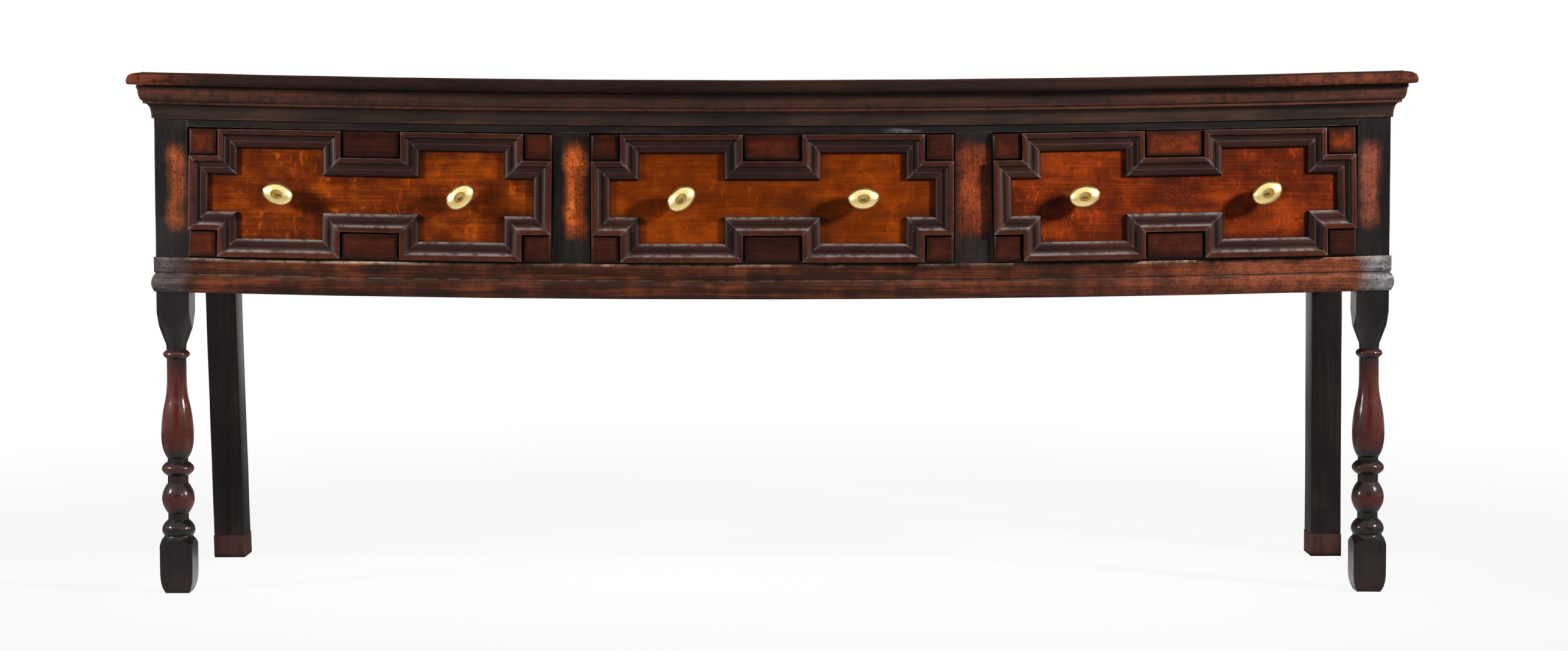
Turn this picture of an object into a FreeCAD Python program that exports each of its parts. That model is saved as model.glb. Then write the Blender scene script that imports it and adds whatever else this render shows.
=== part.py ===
import FreeCAD, Part
import math
import os

V = FreeCAD.Vector

# An oak dresser base with three drawers. Millimetres; X runs along the front, Y from front to back, Z up.
# The origin is on the floor under the middle of the top, and the front faces -Y.

# Case
drawer_opening_width = 553.0
drawer_opening_height = 197.0
post_size = 50.0                # front posts, square
rear_post_width = 50.0
rear_post_depth = 66.0
muntin_width = 55.0
case_depth = 475.0              # front of the front posts to the back of the rear posts
leg_height = 460.0              # floor to the underside of the bottom rail, at the posts
bottom_rail_height = 54.0
top_rail_height = 61.0
rail_thickness = 25.0
end_board_thickness = 18.0
back_board_thickness = 20.0
back_board_inset = 5.0          # in from the back of the rear posts
sag = 11.5                      # the long members hang this much lower in the middle than at the posts

# Top
top_thickness = 20.0
top_overhang = 35.0             # past the front posts, at the front and at both ends
top_rear_overhang = 10.0
top_front_board_width = 285.0
thumbnail_width = 19.0
thumbnail_drop = 11.0
thumbnail_quirk = 0.8           # small step where the moulding meets the flat
nose_round = 2.2
nose_lip = 0.7                  # widest part of the nose past the foot of the round

# Cornice, from its lower edge upwards, then how far each member stands out from the posts
cornice_fillet = 3.0
cornice_cove = 19.0
cornice_step = 4.0
cornice_ovolo = 18.0
cornice_fascia = 6.0
cornice_fillet_out = 3.0
cornice_cove_out = 11.0
cornice_step_out = 14.0
cornice_ovolo_out = 20.5
cornice_fascia_out = 22.0

# Base moulding, from its lower edge upwards
base_bead = 27.0
base_groove = 2.5
base_fascia = 22.5
base_bead_out = 6.5
base_lip_out = 2.0
base_groove_out = 1.0
base_fascia_out = 2.6
base_arris = 1.2

# Turned front legs, from the floor upwards; the baluster takes what height is left
foot_block = 88.0
foot_worn_height = 40.0         # the foot is worn round over this height
foot_worn = 7.0                 # taken off each side of it on the floor
foot_shoulder = 24.6            # corners of the foot are drawn in to the round over this height
foot_shoulder_bend = 7.4        # middle of that curve below the top of the foot
torus_height = 24.0
torus_radius = 24.8
ball_neck = 9.0
ball_height = 47.0
ball_radius = 24.9
ring_neck = 11.0
ring_height = 22.0
ring_radius = 24.7
baluster_neck = 5.0
baluster_radius = 24.8
collar_neck = 5.5
collar_height = 13.0
collar_radius = 20.6
tongue_neck = 8.5
tongue_height = 36.0            # square block drawn in to the round
block_below_rail = 44.0
neck_radius = 15.8
slender_radius = 15.2           # top of the baluster

# Curves of the turning: radii as shares of half the post, and points of the baluster as (share of its
# length, share of its swell)
shoulder_middle = 1.1
shoulder_end = 0.9
tongue_middle = 0.905
tongue_end = 1.15
baluster_low = (0.11, 0.8)
baluster_widest = (0.27, 1.0)
baluster_upper = (0.43, 0.82)
baluster_waist = (0.58, 0.4)
baluster_thin = (0.68, 0.13)
baluster_end = (0.81, 0.0)

# Rear legs
rear_lean_left = 11.0           # the feet stand this far to the right of their posts
rear_lean_right = 2.0
tip_height = 38.0               # spliced foot tips
tip_margin = 1.0

# Joints of the frame
tenon_length = 28.0
tenon_thickness = 10.0
tenon_setback = 8.0             # front of the rail to the tenon
tenon_shoulder = 12.0
board_tenon_height = 80.0
board_tenon_shoulder = 20.0
muntin_tenon_width = 34.0
muntin_tenon_length = 20.0
peg_diameter = 8.0
peg_length = 36.0
peg_stagger = 22.0              # keeps crossing pegs apart
top_peg_diameter = 10.0
top_peg_depth = 28.0            # into the frame below the top
top_peg_sunk = 0.5
tip_dowel_diameter = 14.0
tip_dowel_length = 50.0

# Drawer bearers
bearer_rise = 104.0             # drawer opening's lower edge to the bearer
bearer_height = 15.0
bearer_housing = 8.0            # let into the posts, the muntins and the back board
bearer_engagement = 7.5         # reach into a drawer side

# Drawers
drawer_gap = 1.5                # above and below the front
drawer_side_gap = 0.8           # at each end, on top of what the tilt needs
drawer_recess = 2.0             # front board behind the face of the posts
drawer_front_thickness = 22.0
drawer_lip = 10.0               # front board left outside the rebates
drawer_side_thickness = 18.0
drawer_side_drop = 9.0          # sides and back below the top of the front
drawer_back_thickness = 14.0
drawer_bottom_thickness = 10.0
drawer_bottom_lift = 2.0        # bottom board above the lower edge of the front
drawer_stop_gap = 0.5           # drawer sides to the back board
groove_depth = 9.0
groove_seat = 0.3               # roof of the groove above the bearer
groove_floor_gap = 1.7

# Drawer face
strip_width = 28.0
band_height = 56.0
corner_plaque_width = 44.0
centre_plaque_width = 90.0
plaque_thickness = 9.0
plaque_chamfer = 3.0
plaque_gap = 0.3
strip_step = 1.5                # edge of the strip beside the field
strip_ridge = 7.2               # inner ridge
strip_ridge_at = 9.0
strip_ridge_flat = 2.0
strip_quirk = 1.0
strip_height = 12.2             # outer ridge
strip_hollow_end = 20.0
strip_outer_round = 1.8

# Knobs: oval heads, each turned by its own angle; positive raises the right-hand end
knob_length = 47.5
knob_height = 34.0
knob_depth = 25.0
knob_stand_off = 9.5            # field to the back of the head
knob_rose_diameter = 20.0
knob_rose_thickness = 2.5
knob_neck_diameter = 12.0
knob_stud_diameter = 6.0
knob_hole_clearance = 0.5
nut_side = 13.0
nut_thickness = 5.0
nut_bore_clearance = 0.2
stud_past_nut = 3.0
knob_tilts = {"left": (-17.0, 40.0), "middle": (40.0, 5.0), "right": (10.0, 25.0)}

# Drawer nails
nail_diameter = 3.0
nail_head_diameter = 7.0
nail_head_thickness = 1.5
nail_length = 38.0
nail_edge = 22.0                # nails in from the ends of a row
front_joint_nails = 3
back_joint_nails = 2
bottom_nails = 3                # along each side

# Places that follow from the sizes above
bay_pitch = drawer_opening_width + muntin_width
half_case = 1.5 * drawer_opening_width + muntin_width + post_size
span_half = half_case - post_size
muntin_x = bay_pitch / 2
front = top_overhang - (case_depth + top_overhang + top_rear_overhang) / 2
back = front + case_depth
rail_top = leg_height + bottom_rail_height
head = rail_top + drawer_opening_height
case_top = head + top_rail_height
top_end = half_case + top_overhang
top_front = front - top_overhang
top_back = back + top_rear_overhang
cornice_height = cornice_fillet + cornice_cove + cornice_step + cornice_ovolo + cornice_fascia
back_board_back = back - back_board_inset
back_board_front = back_board_back - back_board_thickness
rear_post_front = back - rear_post_depth
rear_post_inner = half_case - rear_post_width
beyond = top_end                # longer than any cutter needs to reach past its piece
spare = 5.0                     # cut off again where a piece is trimmed to another
arc_far = math.sqrt(0.5)        # where the middle of a quarter round lies, as shares of its two sides
arc_near = 1 - arc_far
end_allowance = 50.0            # extra length of a curved member before its ends are cut upright

# The sag is one arc about an axis parallel to Y, high above the middle of the case
arc_radius = (span_half ** 2 + sag ** 2) / (2 * sag) if sag else math.inf
axis_height = rail_top - sag + arc_radius


def settled(z):
    """Height in the middle of the case of a line that lies at height z where it meets the posts."""
    return axis_height - math.hypot(span_half, axis_height - z) if sag else z


def level(z, x):
    """Height at x of a line that lies at height z where it meets the posts."""
    return axis_height - math.sqrt((axis_height - settled(z)) ** 2 - x ** 2) if sag else z


def slope(x, z):
    """Angle of the arc at x, in degrees, for a line that lies at height z at the posts."""
    return math.degrees(math.asin(x / (axis_height - settled(z)))) if sag else 0.0


def at_station(shape, x, z=rail_top):
    """A copy of a shape from the middle of the case, carried along the arc to x."""
    if sag:
        return shape.rotated(V(0, 0, axis_height), V(0, 1, 0), -slope(x, z))
    return shape.translated(V(x, 0, 0))


def block(x0, x1, y0, y1, z0, z1):
    return Part.makeBox(x1 - x0, y1 - y0, z1 - z0, V(x0, y0, z0))


def mirrored(shape):
    return shape.mirror(V(0, 0, 0), V(1, 0, 0))


def whole(shape):
    """The single solid that a cut or a join leaves."""
    if len(shape.Solids) != 1:
        raise ValueError(f"expected one solid, found {len(shape.Solids)}")
    return shape.Solids[0]


def moved(path, move):
    """A path with each of its points passed through move."""
    return [tuple(move(*p) for p in s) if isinstance(s[0], tuple) else move(*s) for s in path]


def face_of(path, place, splined=False):
    """The face inside a closed path. A step is a point, or an arc given by a point on it and its end.

    Splined arcs are for members of the long curve of the sag, whose cuts fail on the plain round faces.
    """
    edges = []
    here = path[0]
    for step in path[1:] + path[:1]:
        there = step
        if isinstance(step[0], tuple):
            through, there = step
            arc = Part.Arc(place(*here), place(*through), place(*there))
            edges.append(arc.toBSpline().toShape() if splined else arc.toShape())
        else:
            edges.append(Part.makeLine(place(*here), place(*there)))
        here = there
    return Part.Face(Part.Wire(edges))


def rectangle(a0, a1, b0, b1):
    return [(a0, b0), (a1, b0), (a1, b1), (a0, b1)]


def prism(path, z0, z1):
    """A plan outline, as (x, y), raised from z0 to z1."""
    return face_of(path, lambda x, y: V(x, y, z0)).extrude(V(0, 0, z1 - z0))


def bowed(path, x0, x1):
    """A member that follows the sag from x0 to x1. Its section is (y, z), with heights as at the posts."""
    face = face_of(path, lambda y, z: V(0, y, settled(z)), splined=True)
    first, last = x0 - end_allowance, x1 + end_allowance
    if sag:
        turn = slope(last, rail_top) - slope(first, rail_top)
        member = at_station(face, last).revolve(V(0, 0, axis_height), V(0, 1, 0), turn)
    else:
        member = face.translated(V(first, 0, 0)).extrude(V(last - first, 0, 0))
    return whole(member.common(block(x0, x1, -beyond, beyond, -beyond, beyond)))


# Everything above the underside of the top, for trimming what stands under it
above_case = bowed(rectangle(-beyond / 2, beyond / 2, case_top, case_top + beyond / 4), -beyond, beyond)


def thumbnail():
    """Edge of the top as (inset, height), from the underside to the flat."""
    nose = top_thickness - thumbnail_drop
    through = (arc_near * thumbnail_width, nose + arc_far * (thumbnail_drop - thumbnail_quirk))
    return [(nose_round, 0), ((0, nose / 2), (nose_lip, nose)),
            (through, (thumbnail_width, top_thickness - thumbnail_quirk)), (thumbnail_width, top_thickness)]


def cornice_path():
    """Section of the cornice as (out, height above the underside of the top)."""
    z0 = -cornice_height
    z1 = z0 + cornice_fillet
    z2 = z1 + cornice_cove
    z3 = z2 + cornice_step
    z4 = z3 + cornice_ovolo
    cove_reach = cornice_cove_out - cornice_fillet_out
    ovolo_reach = cornice_ovolo_out - cornice_step_out
    cove = (cornice_fillet_out + arc_near * cove_reach, z1 + arc_far * cornice_cove)
    ovolo = (cornice_step_out + arc_far * ovolo_reach, z3 + arc_near * cornice_ovolo)
    return [(0, z0), (cornice_fillet_out, z0), (cornice_fillet_out, z1), (cove, (cornice_cove_out, z2)),
            (cornice_step_out, z2), (cornice_step_out, z3), (ovolo, (cornice_ovolo_out, z4)),
            (cornice_fascia_out, z4), (cornice_fascia_out, 0), (0, 0)]


def base_path():
    """Section of the base moulding as (out, height above the underside of the bottom rail)."""
    z1 = base_bead
    z2 = z1 + base_groove
    z3 = z2 + base_fascia
    worn = (base_fascia_out - arc_near * base_arris, z3 + arc_far * base_arris)
    return [(0, 0), (base_lip_out, 0), ((base_bead_out, z1 / 2), (base_lip_out, z1)), (base_groove_out, z1),
            (base_groove_out, z2), (base_fascia_out, z2), (base_fascia_out, z3),
            (worn, (base_fascia_out - base_arris, z3 + base_arris)), (0, z3 + base_arris)]


def front_moulding(path, z, out):
    """A length of moulding along the front, mitred at both ends."""
    length = bowed(moved(path, lambda a, b: (front - a, z + b)), -half_case - out, half_case + out)
    far = out + spare
    plan = [(-half_case, front), (half_case, front)]
    plan += [(half_case + far, front - far), (-half_case - far, front - far)]
    return whole(length.common(prism(plan, -beyond, beyond)))


def end_moulding(path, z, out):
    """The same moulding returned along the right-hand end, up to the underside of the top."""
    lift = level(z, half_case) - z
    face = face_of(path, lambda a, b: V(half_case + a, front - out, z + b + lift))
    length = face.extrude(V(0, back - front + out, 0))
    far = out + spare
    plan = [(half_case, front), (half_case + far, front - far), (half_case + far, back), (half_case, back)]
    return whole(length.common(prism(plan, -beyond, beyond)).cut(above_case))


def raised(path, extra):
    """A cornice section with its top edge carried up, to be trimmed to the top again."""
    return [(s[0], s[1] + extra) if s[1] == 0 else s for s in path]


def leg_path():
    """Turned outline of a front leg as (radius, height). Where it is wider, the post stays square."""
    clear = post_size
    torus_top = foot_block + torus_height
    ball_low = torus_top + ball_neck
    ball_top = ball_low + ball_height
    ring_low = ball_top + ring_neck
    ring_top = ring_low + ring_height
    belly_low = ring_top + baluster_neck
    tongue_top = leg_height - block_below_rail
    tongue_low = tongue_top - tongue_height
    collar_top = tongue_low - tongue_neck
    collar_low = collar_top - collar_height
    slender_top = collar_low - collar_neck
    length = slender_top - belly_low
    swell = baluster_radius - slender_radius

    def baluster(point):
        return slender_radius + point[1] * swell, belly_low + point[0] * length

    square = post_size / 2
    return [
        (0, 0), (clear, 0), (clear, foot_block - foot_shoulder),
        ((shoulder_middle * square, foot_block - foot_shoulder_bend), (shoulder_end * square, foot_block)),
        ((torus_radius, foot_block + torus_height / 2), (neck_radius, torus_top)), (neck_radius, ball_low),
        ((ball_radius, ball_low + ball_height / 2), (neck_radius, ball_top)), (neck_radius, ring_low),
        ((ring_radius, ring_low + ring_height / 2), (neck_radius, ring_top)), (neck_radius, belly_low),
        (baluster(baluster_low), baluster(baluster_widest)),
        (baluster(baluster_upper), baluster(baluster_waist)),
        (baluster(baluster_thin), baluster(baluster_end)),
        (slender_radius, slender_top), (slender_radius, collar_low),
        ((collar_radius, collar_low + collar_height / 2), (slender_radius, collar_top)),
        (neck_radius, tongue_low),
        ((tongue_middle * square, tongue_low + tongue_height / 2), (tongue_end * square, tongue_top)),
        (clear, leg_height), (clear, case_top + spare), (0, case_top + spare),
    ]


def worn_outline():
    """A front leg seen square on, with its foot worn in towards the floor. It is made twice, crossed."""
    side, floor = post_size / 2, post_size / 2 - foot_worn
    through = (side - arc_near * foot_worn, arc_near * foot_worn_height)
    right = [(floor, 0), (through, (side, foot_worn_height)), (side, case_top + spare)]
    left = [(-side, case_top + spare), (-side, foot_worn_height), ((-through[0], through[1]), (-floor, 0))]
    return face_of(right + left, lambda x, z: V(x, -side, z)).extrude(V(0, post_size, 0))


def rail(z0, z1):
    """A front rail with a tenon at each end."""
    body = bowed(rectangle(front, front + rail_thickness, z0, z1), -span_half, span_half)
    tenon_front = front + tenon_setback
    tenon = block(span_half, span_half + tenon_length, tenon_front, tenon_front + tenon_thickness,
                  z0 + tenon_shoulder, z1 - tenon_shoulder)
    return whole(body.fuse([tenon, mirrored(tenon)]))


def board_tenon_levels():
    """Lower and upper edge of the two tenons at each end of a wide board."""
    low = leg_height + board_tenon_shoulder
    high = case_top - board_tenon_shoulder
    return [(low, low + board_tenon_height), (high - board_tenon_height, high)]


def end_board():
    """Right-hand end of the case, tenoned into both posts."""
    y0, y1 = front + post_size, rear_post_front
    inner = half_case - end_board_thickness
    body = block(inner, half_case, y0, y1, leg_height, case_top + spare).cut(above_case)
    middle = (inner + half_case) / 2
    tenons = [block(middle - tenon_thickness / 2, middle + tenon_thickness / 2,
                    y0 - tenon_length, y1 + tenon_length, z0, z1) for z0, z1 in board_tenon_levels()]
    return whole(body.fuse(tenons))


def back_board():
    section = rectangle(back_board_front, back_board_back, leg_height, case_top)
    body = bowed(section, -rear_post_inner, rear_post_inner)
    tenon_front = (back_board_front + back_board_back - tenon_thickness) / 2
    tenons = []
    for z0, z1 in board_tenon_levels():
        tenon = block(rear_post_inner, rear_post_inner + tenon_length,
                      tenon_front, tenon_front + tenon_thickness, z0, z1)
        tenons += [tenon, mirrored(tenon)]
    return whole(body.fuse(tenons))


def muntin():
    """Upright between the middle and the right-hand drawer, with a tenon in each rail."""
    x0, x1 = muntin_x - muntin_width / 2, muntin_x + muntin_width / 2
    body = bowed(rectangle(front, front + rail_thickness, rail_top, head), x0, x1)
    tenon_front = front + tenon_setback
    tenon = block(muntin_x - muntin_tenon_width / 2, muntin_x + muntin_tenon_width / 2,
                  tenon_front, tenon_front + tenon_thickness,
                  level(rail_top, muntin_x) - muntin_tenon_length,
                  level(head, muntin_x) + muntin_tenon_length)
    return whole(body.fuse(tenon))


# Drawer sizes that the sag decides: a straight box has to clear the arc and stay inside upright posts
drawer_bottom = level(rail_top, drawer_opening_width / 2) + drawer_gap
drawer_top = settled(head) - drawer_gap
drawer_height = drawer_top - drawer_bottom
bay_middle = (rail_top + head) / 2
drawer_lean = drawer_height / 2 * math.sin(math.radians(slope(bay_pitch, bay_middle)))
drawer_width = drawer_opening_width - 2 * (drawer_side_gap + drawer_lean)
drawer_half = drawer_width / 2
drawer_middle = (drawer_bottom + drawer_top) / 2
drawer_face = front + drawer_recess
drawer_box_front = drawer_face + drawer_lip
drawer_front_back = drawer_face + drawer_front_thickness
drawer_box_back = back_board_front - drawer_stop_gap
drawer_floor = drawer_bottom + drawer_bottom_lift + drawer_bottom_thickness
drawer_box_top = drawer_top - drawer_side_drop
bearer_low = rail_top + bearer_rise
bearer_high = bearer_low + bearer_height
bearer_reach = drawer_side_gap + drawer_lean + bearer_engagement
bearer_front = front + rail_thickness


def end_bearer():
    """Strip between the right-hand posts that carries one side of a drawer."""
    section = rectangle(bearer_front, rear_post_front + bearer_housing, bearer_low, bearer_high)
    return bowed(section, span_half - bearer_reach, span_half + bearer_housing)


def centre_bearer():
    """Board behind the right-hand muntin that carries a drawer on each side."""
    reach = muntin_width / 2 + bearer_reach
    section = rectangle(bearer_front, back_board_front + bearer_housing, bearer_low, bearer_high)
    board = bowed(section, muntin_x - reach, muntin_x + reach)
    section = rectangle(bearer_front - bearer_housing, bearer_front, bearer_low, bearer_high)
    tenon = bowed(section, muntin_x - muntin_tenon_width / 2, muntin_x + muntin_tenon_width / 2)
    return whole(board.fuse(tenon))


def peg(x, y, z, direction):
    return Part.makeCylinder(peg_diameter / 2, peg_length, V(x, y, z), direction)


def frame_pegs():
    """Pegs of the right-hand half of the frame, each through a post and a tenon."""
    pegs = []
    for z in ((leg_height + rail_top) / 2, (head + case_top) / 2):
        pegs.append(peg(span_half + tenon_length / 2, front, z, V(0, 1, 0)))
    for z0, z1 in board_tenon_levels():
        z = (z0 + z1) / 2
        for y in (front + post_size - tenon_length / 2, rear_post_front + tenon_length / 2):
            pegs.append(peg(half_case, y, z, V(-1, 0, 0)))
        pegs.append(peg(rear_post_inner + tenon_length / 2, back, z + peg_stagger, V(0, -1, 0)))
    return pegs


def top_peg(x, y):
    low = level(case_top, x) - top_peg_depth
    high = level(case_top + top_thickness, x) - top_peg_sunk
    return Part.makeCylinder(top_peg_diameter / 2, high - low, V(x, y, low))


def top_pegs():
    pegs = []
    for y in (front + rail_thickness / 2, (back_board_front + back_board_back) / 2):
        for x in (muntin_x, bay_pitch + muntin_x / 2):
            pegs += [top_peg(-x, y), top_peg(x, y)]
    end_x = half_case - end_board_thickness / 2
    for y in (front + case_depth / 3, front + 2 * case_depth / 3):
        pegs += [top_peg(-end_x, y), top_peg(end_x, y)]
    return pegs


def top_board(path):
    """One board of the top, with the thumbnail worked on both ends. Its section is (y, height)."""
    board = bowed(moved(path, lambda y, h: (y, case_top + h)), -top_end - spare, top_end + spare)
    edge = thumbnail()
    waste = [(-beyond / 4, -spare), (edge[0][0], -spare)] + edge
    waste += [(thumbnail_width, top_thickness + spare), (-beyond / 4, top_thickness + spare)]
    cutter = face_of(waste, lambda inset, h: V(-inset, -beyond / 2, settled(case_top + h)), splined=True)
    cutter = at_station(cutter.extrude(V(0, beyond, 0)), top_end, case_top)
    return whole(board.cut([cutter, mirrored(cutter)] + top_pegs_made))


def rear_centre(side, z):
    """Middle of a rear leg at a level below the case. The left-hand side is -1."""
    lean = rear_lean_left if side < 0 else rear_lean_right
    return side * (half_case - rear_post_width / 2) + lean * (leg_height - z) / leg_height


def leaning(side, margin, z0, z1):
    """A length of a rear leg below the case, drawn between two levels."""
    outlines = []
    for z in (z0, z1):
        centre = rear_centre(side, z)
        half_x, half_y = rear_post_width / 2 + margin, rear_post_depth / 2 + margin
        middle_y = back - rear_post_depth / 2
        corners = rectangle(centre - half_x, centre + half_x, middle_y - half_y, middle_y + half_y)
        outlines.append(Part.makePolygon([V(a, b, z) for a, b in corners + corners[:1]]))
    return Part.makeLoft(outlines, True, True)


def tip_dowel(side):
    low = V(rear_centre(side, tip_height), back - rear_post_depth / 2, tip_height - tip_dowel_length / 2)
    return Part.makeCylinder(tip_dowel_diameter / 2, tip_dowel_length, low)


def rear_leg(side, joined):
    """Plain rear leg and post in one piece, cut for what is joined to it."""
    x, half = rear_centre(side, leg_height), rear_post_width / 2
    post = block(x - half, x + half, rear_post_front, back, leg_height, case_top + spare).cut(above_case)
    leg = post.fuse(leaning(side, 0, tip_height, leg_height)).removeSplitter()
    return whole(leg.cut(joined + [tip_dowel(side)]))


def foot_tip(side):
    return whole(leaning(side, tip_margin, 0, tip_height).cut(tip_dowel(side)))


def front_leg(joined):
    """Right-hand front leg and post in one piece, cut for what is joined to it."""
    upright = V(0, 0, 1)
    turned = face_of(leg_path(), lambda r, z: V(r, 0, z)).revolve(V(0, 0, 0), upright, 360)
    outline = worn_outline()
    leg = outline.common(outline.rotated(V(0, 0, 0), upright, 90)).common(turned)
    leg.translate(V(half_case - post_size / 2, front + post_size / 2, 0))
    return whole(leg.cut(joined + [above_case]))


def field_corners():
    """Outline of the sunk field of a drawer front, clockwise, from the middle of the drawer as (x, z)."""
    ear = drawer_half - strip_width
    lobe_outer = drawer_half - corner_plaque_width - strip_width
    lobe_inner = centre_plaque_width / 2 + strip_width
    low, high = band_height / 2, drawer_height / 2 - strip_width
    right = [(lobe_inner, low), (lobe_inner, high), (lobe_outer, high), (lobe_outer, low), (ear, low)]
    upper = [(-x, z) for x, z in reversed(right)] + right
    return upper + [(-x, -z) for x, z in upper]


def strip_path():
    """Section of a moulding strip as (distance from the field, height above the board)."""
    rise = strip_ridge - strip_step
    ridge_end = strip_ridge_at + strip_ridge_flat
    hollow = strip_hollow_end - ridge_end
    foot = strip_ridge - strip_quirk
    climb = strip_height - strip_quirk - foot
    r = strip_outer_round
    inner_round = (arc_near * strip_ridge_at, strip_step + arc_far * rise)
    cove = (ridge_end + arc_far * hollow, foot + arc_near * climb)
    outer_round = (strip_width - arc_near * r, strip_height - arc_near * r)
    return [(0, 0), (0, strip_step), (inner_round, (strip_ridge_at, strip_ridge)),
            (ridge_end, strip_ridge), (ridge_end, foot),
            (cove, (strip_hollow_end, strip_height - strip_quirk)),
            (strip_hollow_end, strip_height), (strip_width - r, strip_height),
            (outer_round, (strip_width, strip_height - r)), (strip_width, 0)]


def on_face(x, z, height):
    """A point on a drawer front, measured from the middle of the drawer and out from the board."""
    return V(x, drawer_face - height, drawer_middle + z)


def moulding_strips():
    """The mitred strips round the field, one for each side of its outline."""
    corners = field_corners()
    strips = []
    for i, start in enumerate(corners):
        end = corners[(i + 1) % len(corners)]
        before, after = corners[i - 1], corners[(i + 2) % len(corners)]

        def outwards(a, b):
            run = math.hypot(b[0] - a[0], b[1] - a[1])
            return (a[1] - b[1]) / run, (b[0] - a[0]) / run

        nx, nz = outwards(start, end)
        mitres = []
        for point, other in ((start, outwards(before, start)), (end, outwards(end, after))):
            step_x, step_z = strip_width * (nx + other[0]), strip_width * (nz + other[1])
            mitres.append((point[0] + step_x, point[1] + step_z))
        along = V(nz, 0, -nx)
        length = math.hypot(end[0] - start[0], end[1] - start[1])
        first = V(start[0], 0, start[1]) - along * strip_width
        section = face_of(strip_path(), lambda u, v: on_face(first.x + u * nx, first.z + u * nz, v))
        bar = section.extrude(along * (length + 2 * strip_width))
        plan = face_of([start, end, mitres[1], mitres[0]], lambda x, z: on_face(x, z, -spare))
        strips.append(whole(bar.common(plan.extrude(V(0, -strip_height - 2 * spare, 0)))))
    return strips


def plaque(x0, x1, z0, z1):
    """A raised tablet with chamfered front edges."""
    slab = block(x0, x1, drawer_face - plaque_thickness, drawer_face, drawer_middle + z0, drawer_middle + z1)
    outer = [e for e in slab.Edges if e.BoundBox.YMax < drawer_face - plaque_thickness / 2]
    return slab.makeChamfer(plaque_chamfer, outer)


def plaques():
    low, high = band_height / 2 + strip_width + plaque_gap, drawer_height / 2
    corner = drawer_half - corner_plaque_width + plaque_gap
    centre = centre_plaque_width / 2 - plaque_gap
    tablets = []
    for z0, z1 in ((low, high), (-high, -low)):
        tablets += [plaque(-drawer_half, -corner, z0, z1), plaque(-centre, centre, z0, z1)]
        tablets.append(plaque(corner, drawer_half, z0, z1))
    return tablets


def knob_x():
    """Knobs sit in the middle of each lobe of the field."""
    inner = centre_plaque_width / 2 + strip_width
    outer = drawer_half - corner_plaque_width - strip_width
    return (inner + outer) / 2


def across(diameter, x, y0, y1):
    """A round bar through a drawer front at its mid-height."""
    return Part.makeCylinder(diameter / 2, y1 - y0, V(x, y0, drawer_middle), V(0, 1, 0))


def knob(x, tilt):
    """Oval head on a short neck and a round rose, with its stud through the drawer front."""
    oval = FreeCAD.Matrix()
    oval.scale(knob_length / knob_height, knob_depth / knob_height, 1)
    oval_head = Part.makeSphere(knob_height / 2).transformGeometry(oval)
    oval_head.rotate(V(0, 0, 0), V(0, -1, 0), tilt)
    middle = drawer_face - knob_stand_off - knob_depth / 2
    oval_head.translate(V(x, middle, drawer_middle))
    neck = across(knob_neck_diameter, x, middle, drawer_face)
    rose = across(knob_rose_diameter, x, drawer_face - knob_rose_thickness, drawer_face)
    stud_end = drawer_front_back + nut_thickness + stud_past_nut
    stud = across(knob_stud_diameter, x, middle, stud_end)
    return whole(oval_head.fuse([neck, rose, stud]))


def nut(x):
    half = nut_side / 2
    body = block(x - half, x + half, drawer_front_back, drawer_front_back + nut_thickness,
                 drawer_middle - half, drawer_middle + half)
    bore_diameter = knob_stud_diameter + nut_bore_clearance
    return whole(body.cut(across(bore_diameter, x, drawer_face, drawer_front_back + 2 * nut_thickness)))


def nail(point, direction):
    """A nail with its head flush in the surface at a point."""
    head_disc = Part.makeCylinder(nail_head_diameter / 2, nail_head_thickness, point, direction)
    return whole(head_disc.fuse(Part.makeCylinder(nail_diameter / 2, nail_length, point, direction)))


def row(low, high, count):
    """Evenly spaced places between two ends, set in from them."""
    return [low + nail_edge + i * (high - low - 2 * nail_edge) / (count - 1) for i in range(count)]


def drawer_nails():
    nails = []
    in_front = (drawer_box_front + drawer_front_back) / 2
    in_back = drawer_box_back - drawer_back_thickness / 2
    for side in (-1, 1):
        inwards = V(-side, 0, 0)
        for z in row(drawer_floor, drawer_box_top, front_joint_nails):
            nails.append(nail(V(side * drawer_half, in_front, z), inwards))
        for z in row(drawer_floor, drawer_box_top, back_joint_nails):
            nails.append(nail(V(side * drawer_half, in_back, z), inwards))
        under_side = side * (drawer_half - drawer_side_thickness / 2)
        for y in row(drawer_front_back, drawer_box_back - drawer_back_thickness, bottom_nails):
            underside = drawer_floor - drawer_bottom_thickness
            nails.append(nail(V(under_side, y, underside), V(0, 0, 1)))
    return nails


def drawer_front(nails):
    board = block(-drawer_half, drawer_half, drawer_face, drawer_front_back, drawer_bottom, drawer_top)
    inner = drawer_half - drawer_side_thickness
    end_rebate = block(inner, drawer_half, drawer_box_front, drawer_front_back, drawer_bottom, drawer_top)
    foot_rebate = block(-drawer_half, drawer_half, drawer_box_front, drawer_front_back,
                        drawer_bottom, drawer_floor)
    hole = knob_stud_diameter + knob_hole_clearance
    holes = [across(hole, side * knob_x(), drawer_face, drawer_front_back) for side in (-1, 1)]
    return whole(board.cut([end_rebate, mirrored(end_rebate), foot_rebate] + holes + nails))


def drawer_side(nails):
    """Right-hand side with the groove that runs on a bearer."""
    board = block(drawer_half - drawer_side_thickness, drawer_half, drawer_box_front, drawer_box_back,
                  drawer_floor, drawer_box_top)
    rise = level(bearer_high, drawer_opening_width / 2) - settled(bearer_high)
    roof = settled(bearer_high) + rise + groove_seat
    floor = settled(bearer_low) + rise - groove_floor_gap
    groove = block(drawer_half - groove_depth, drawer_half, drawer_box_front, drawer_box_back, floor, roof)
    return whole(board.cut([groove] + nails))


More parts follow.
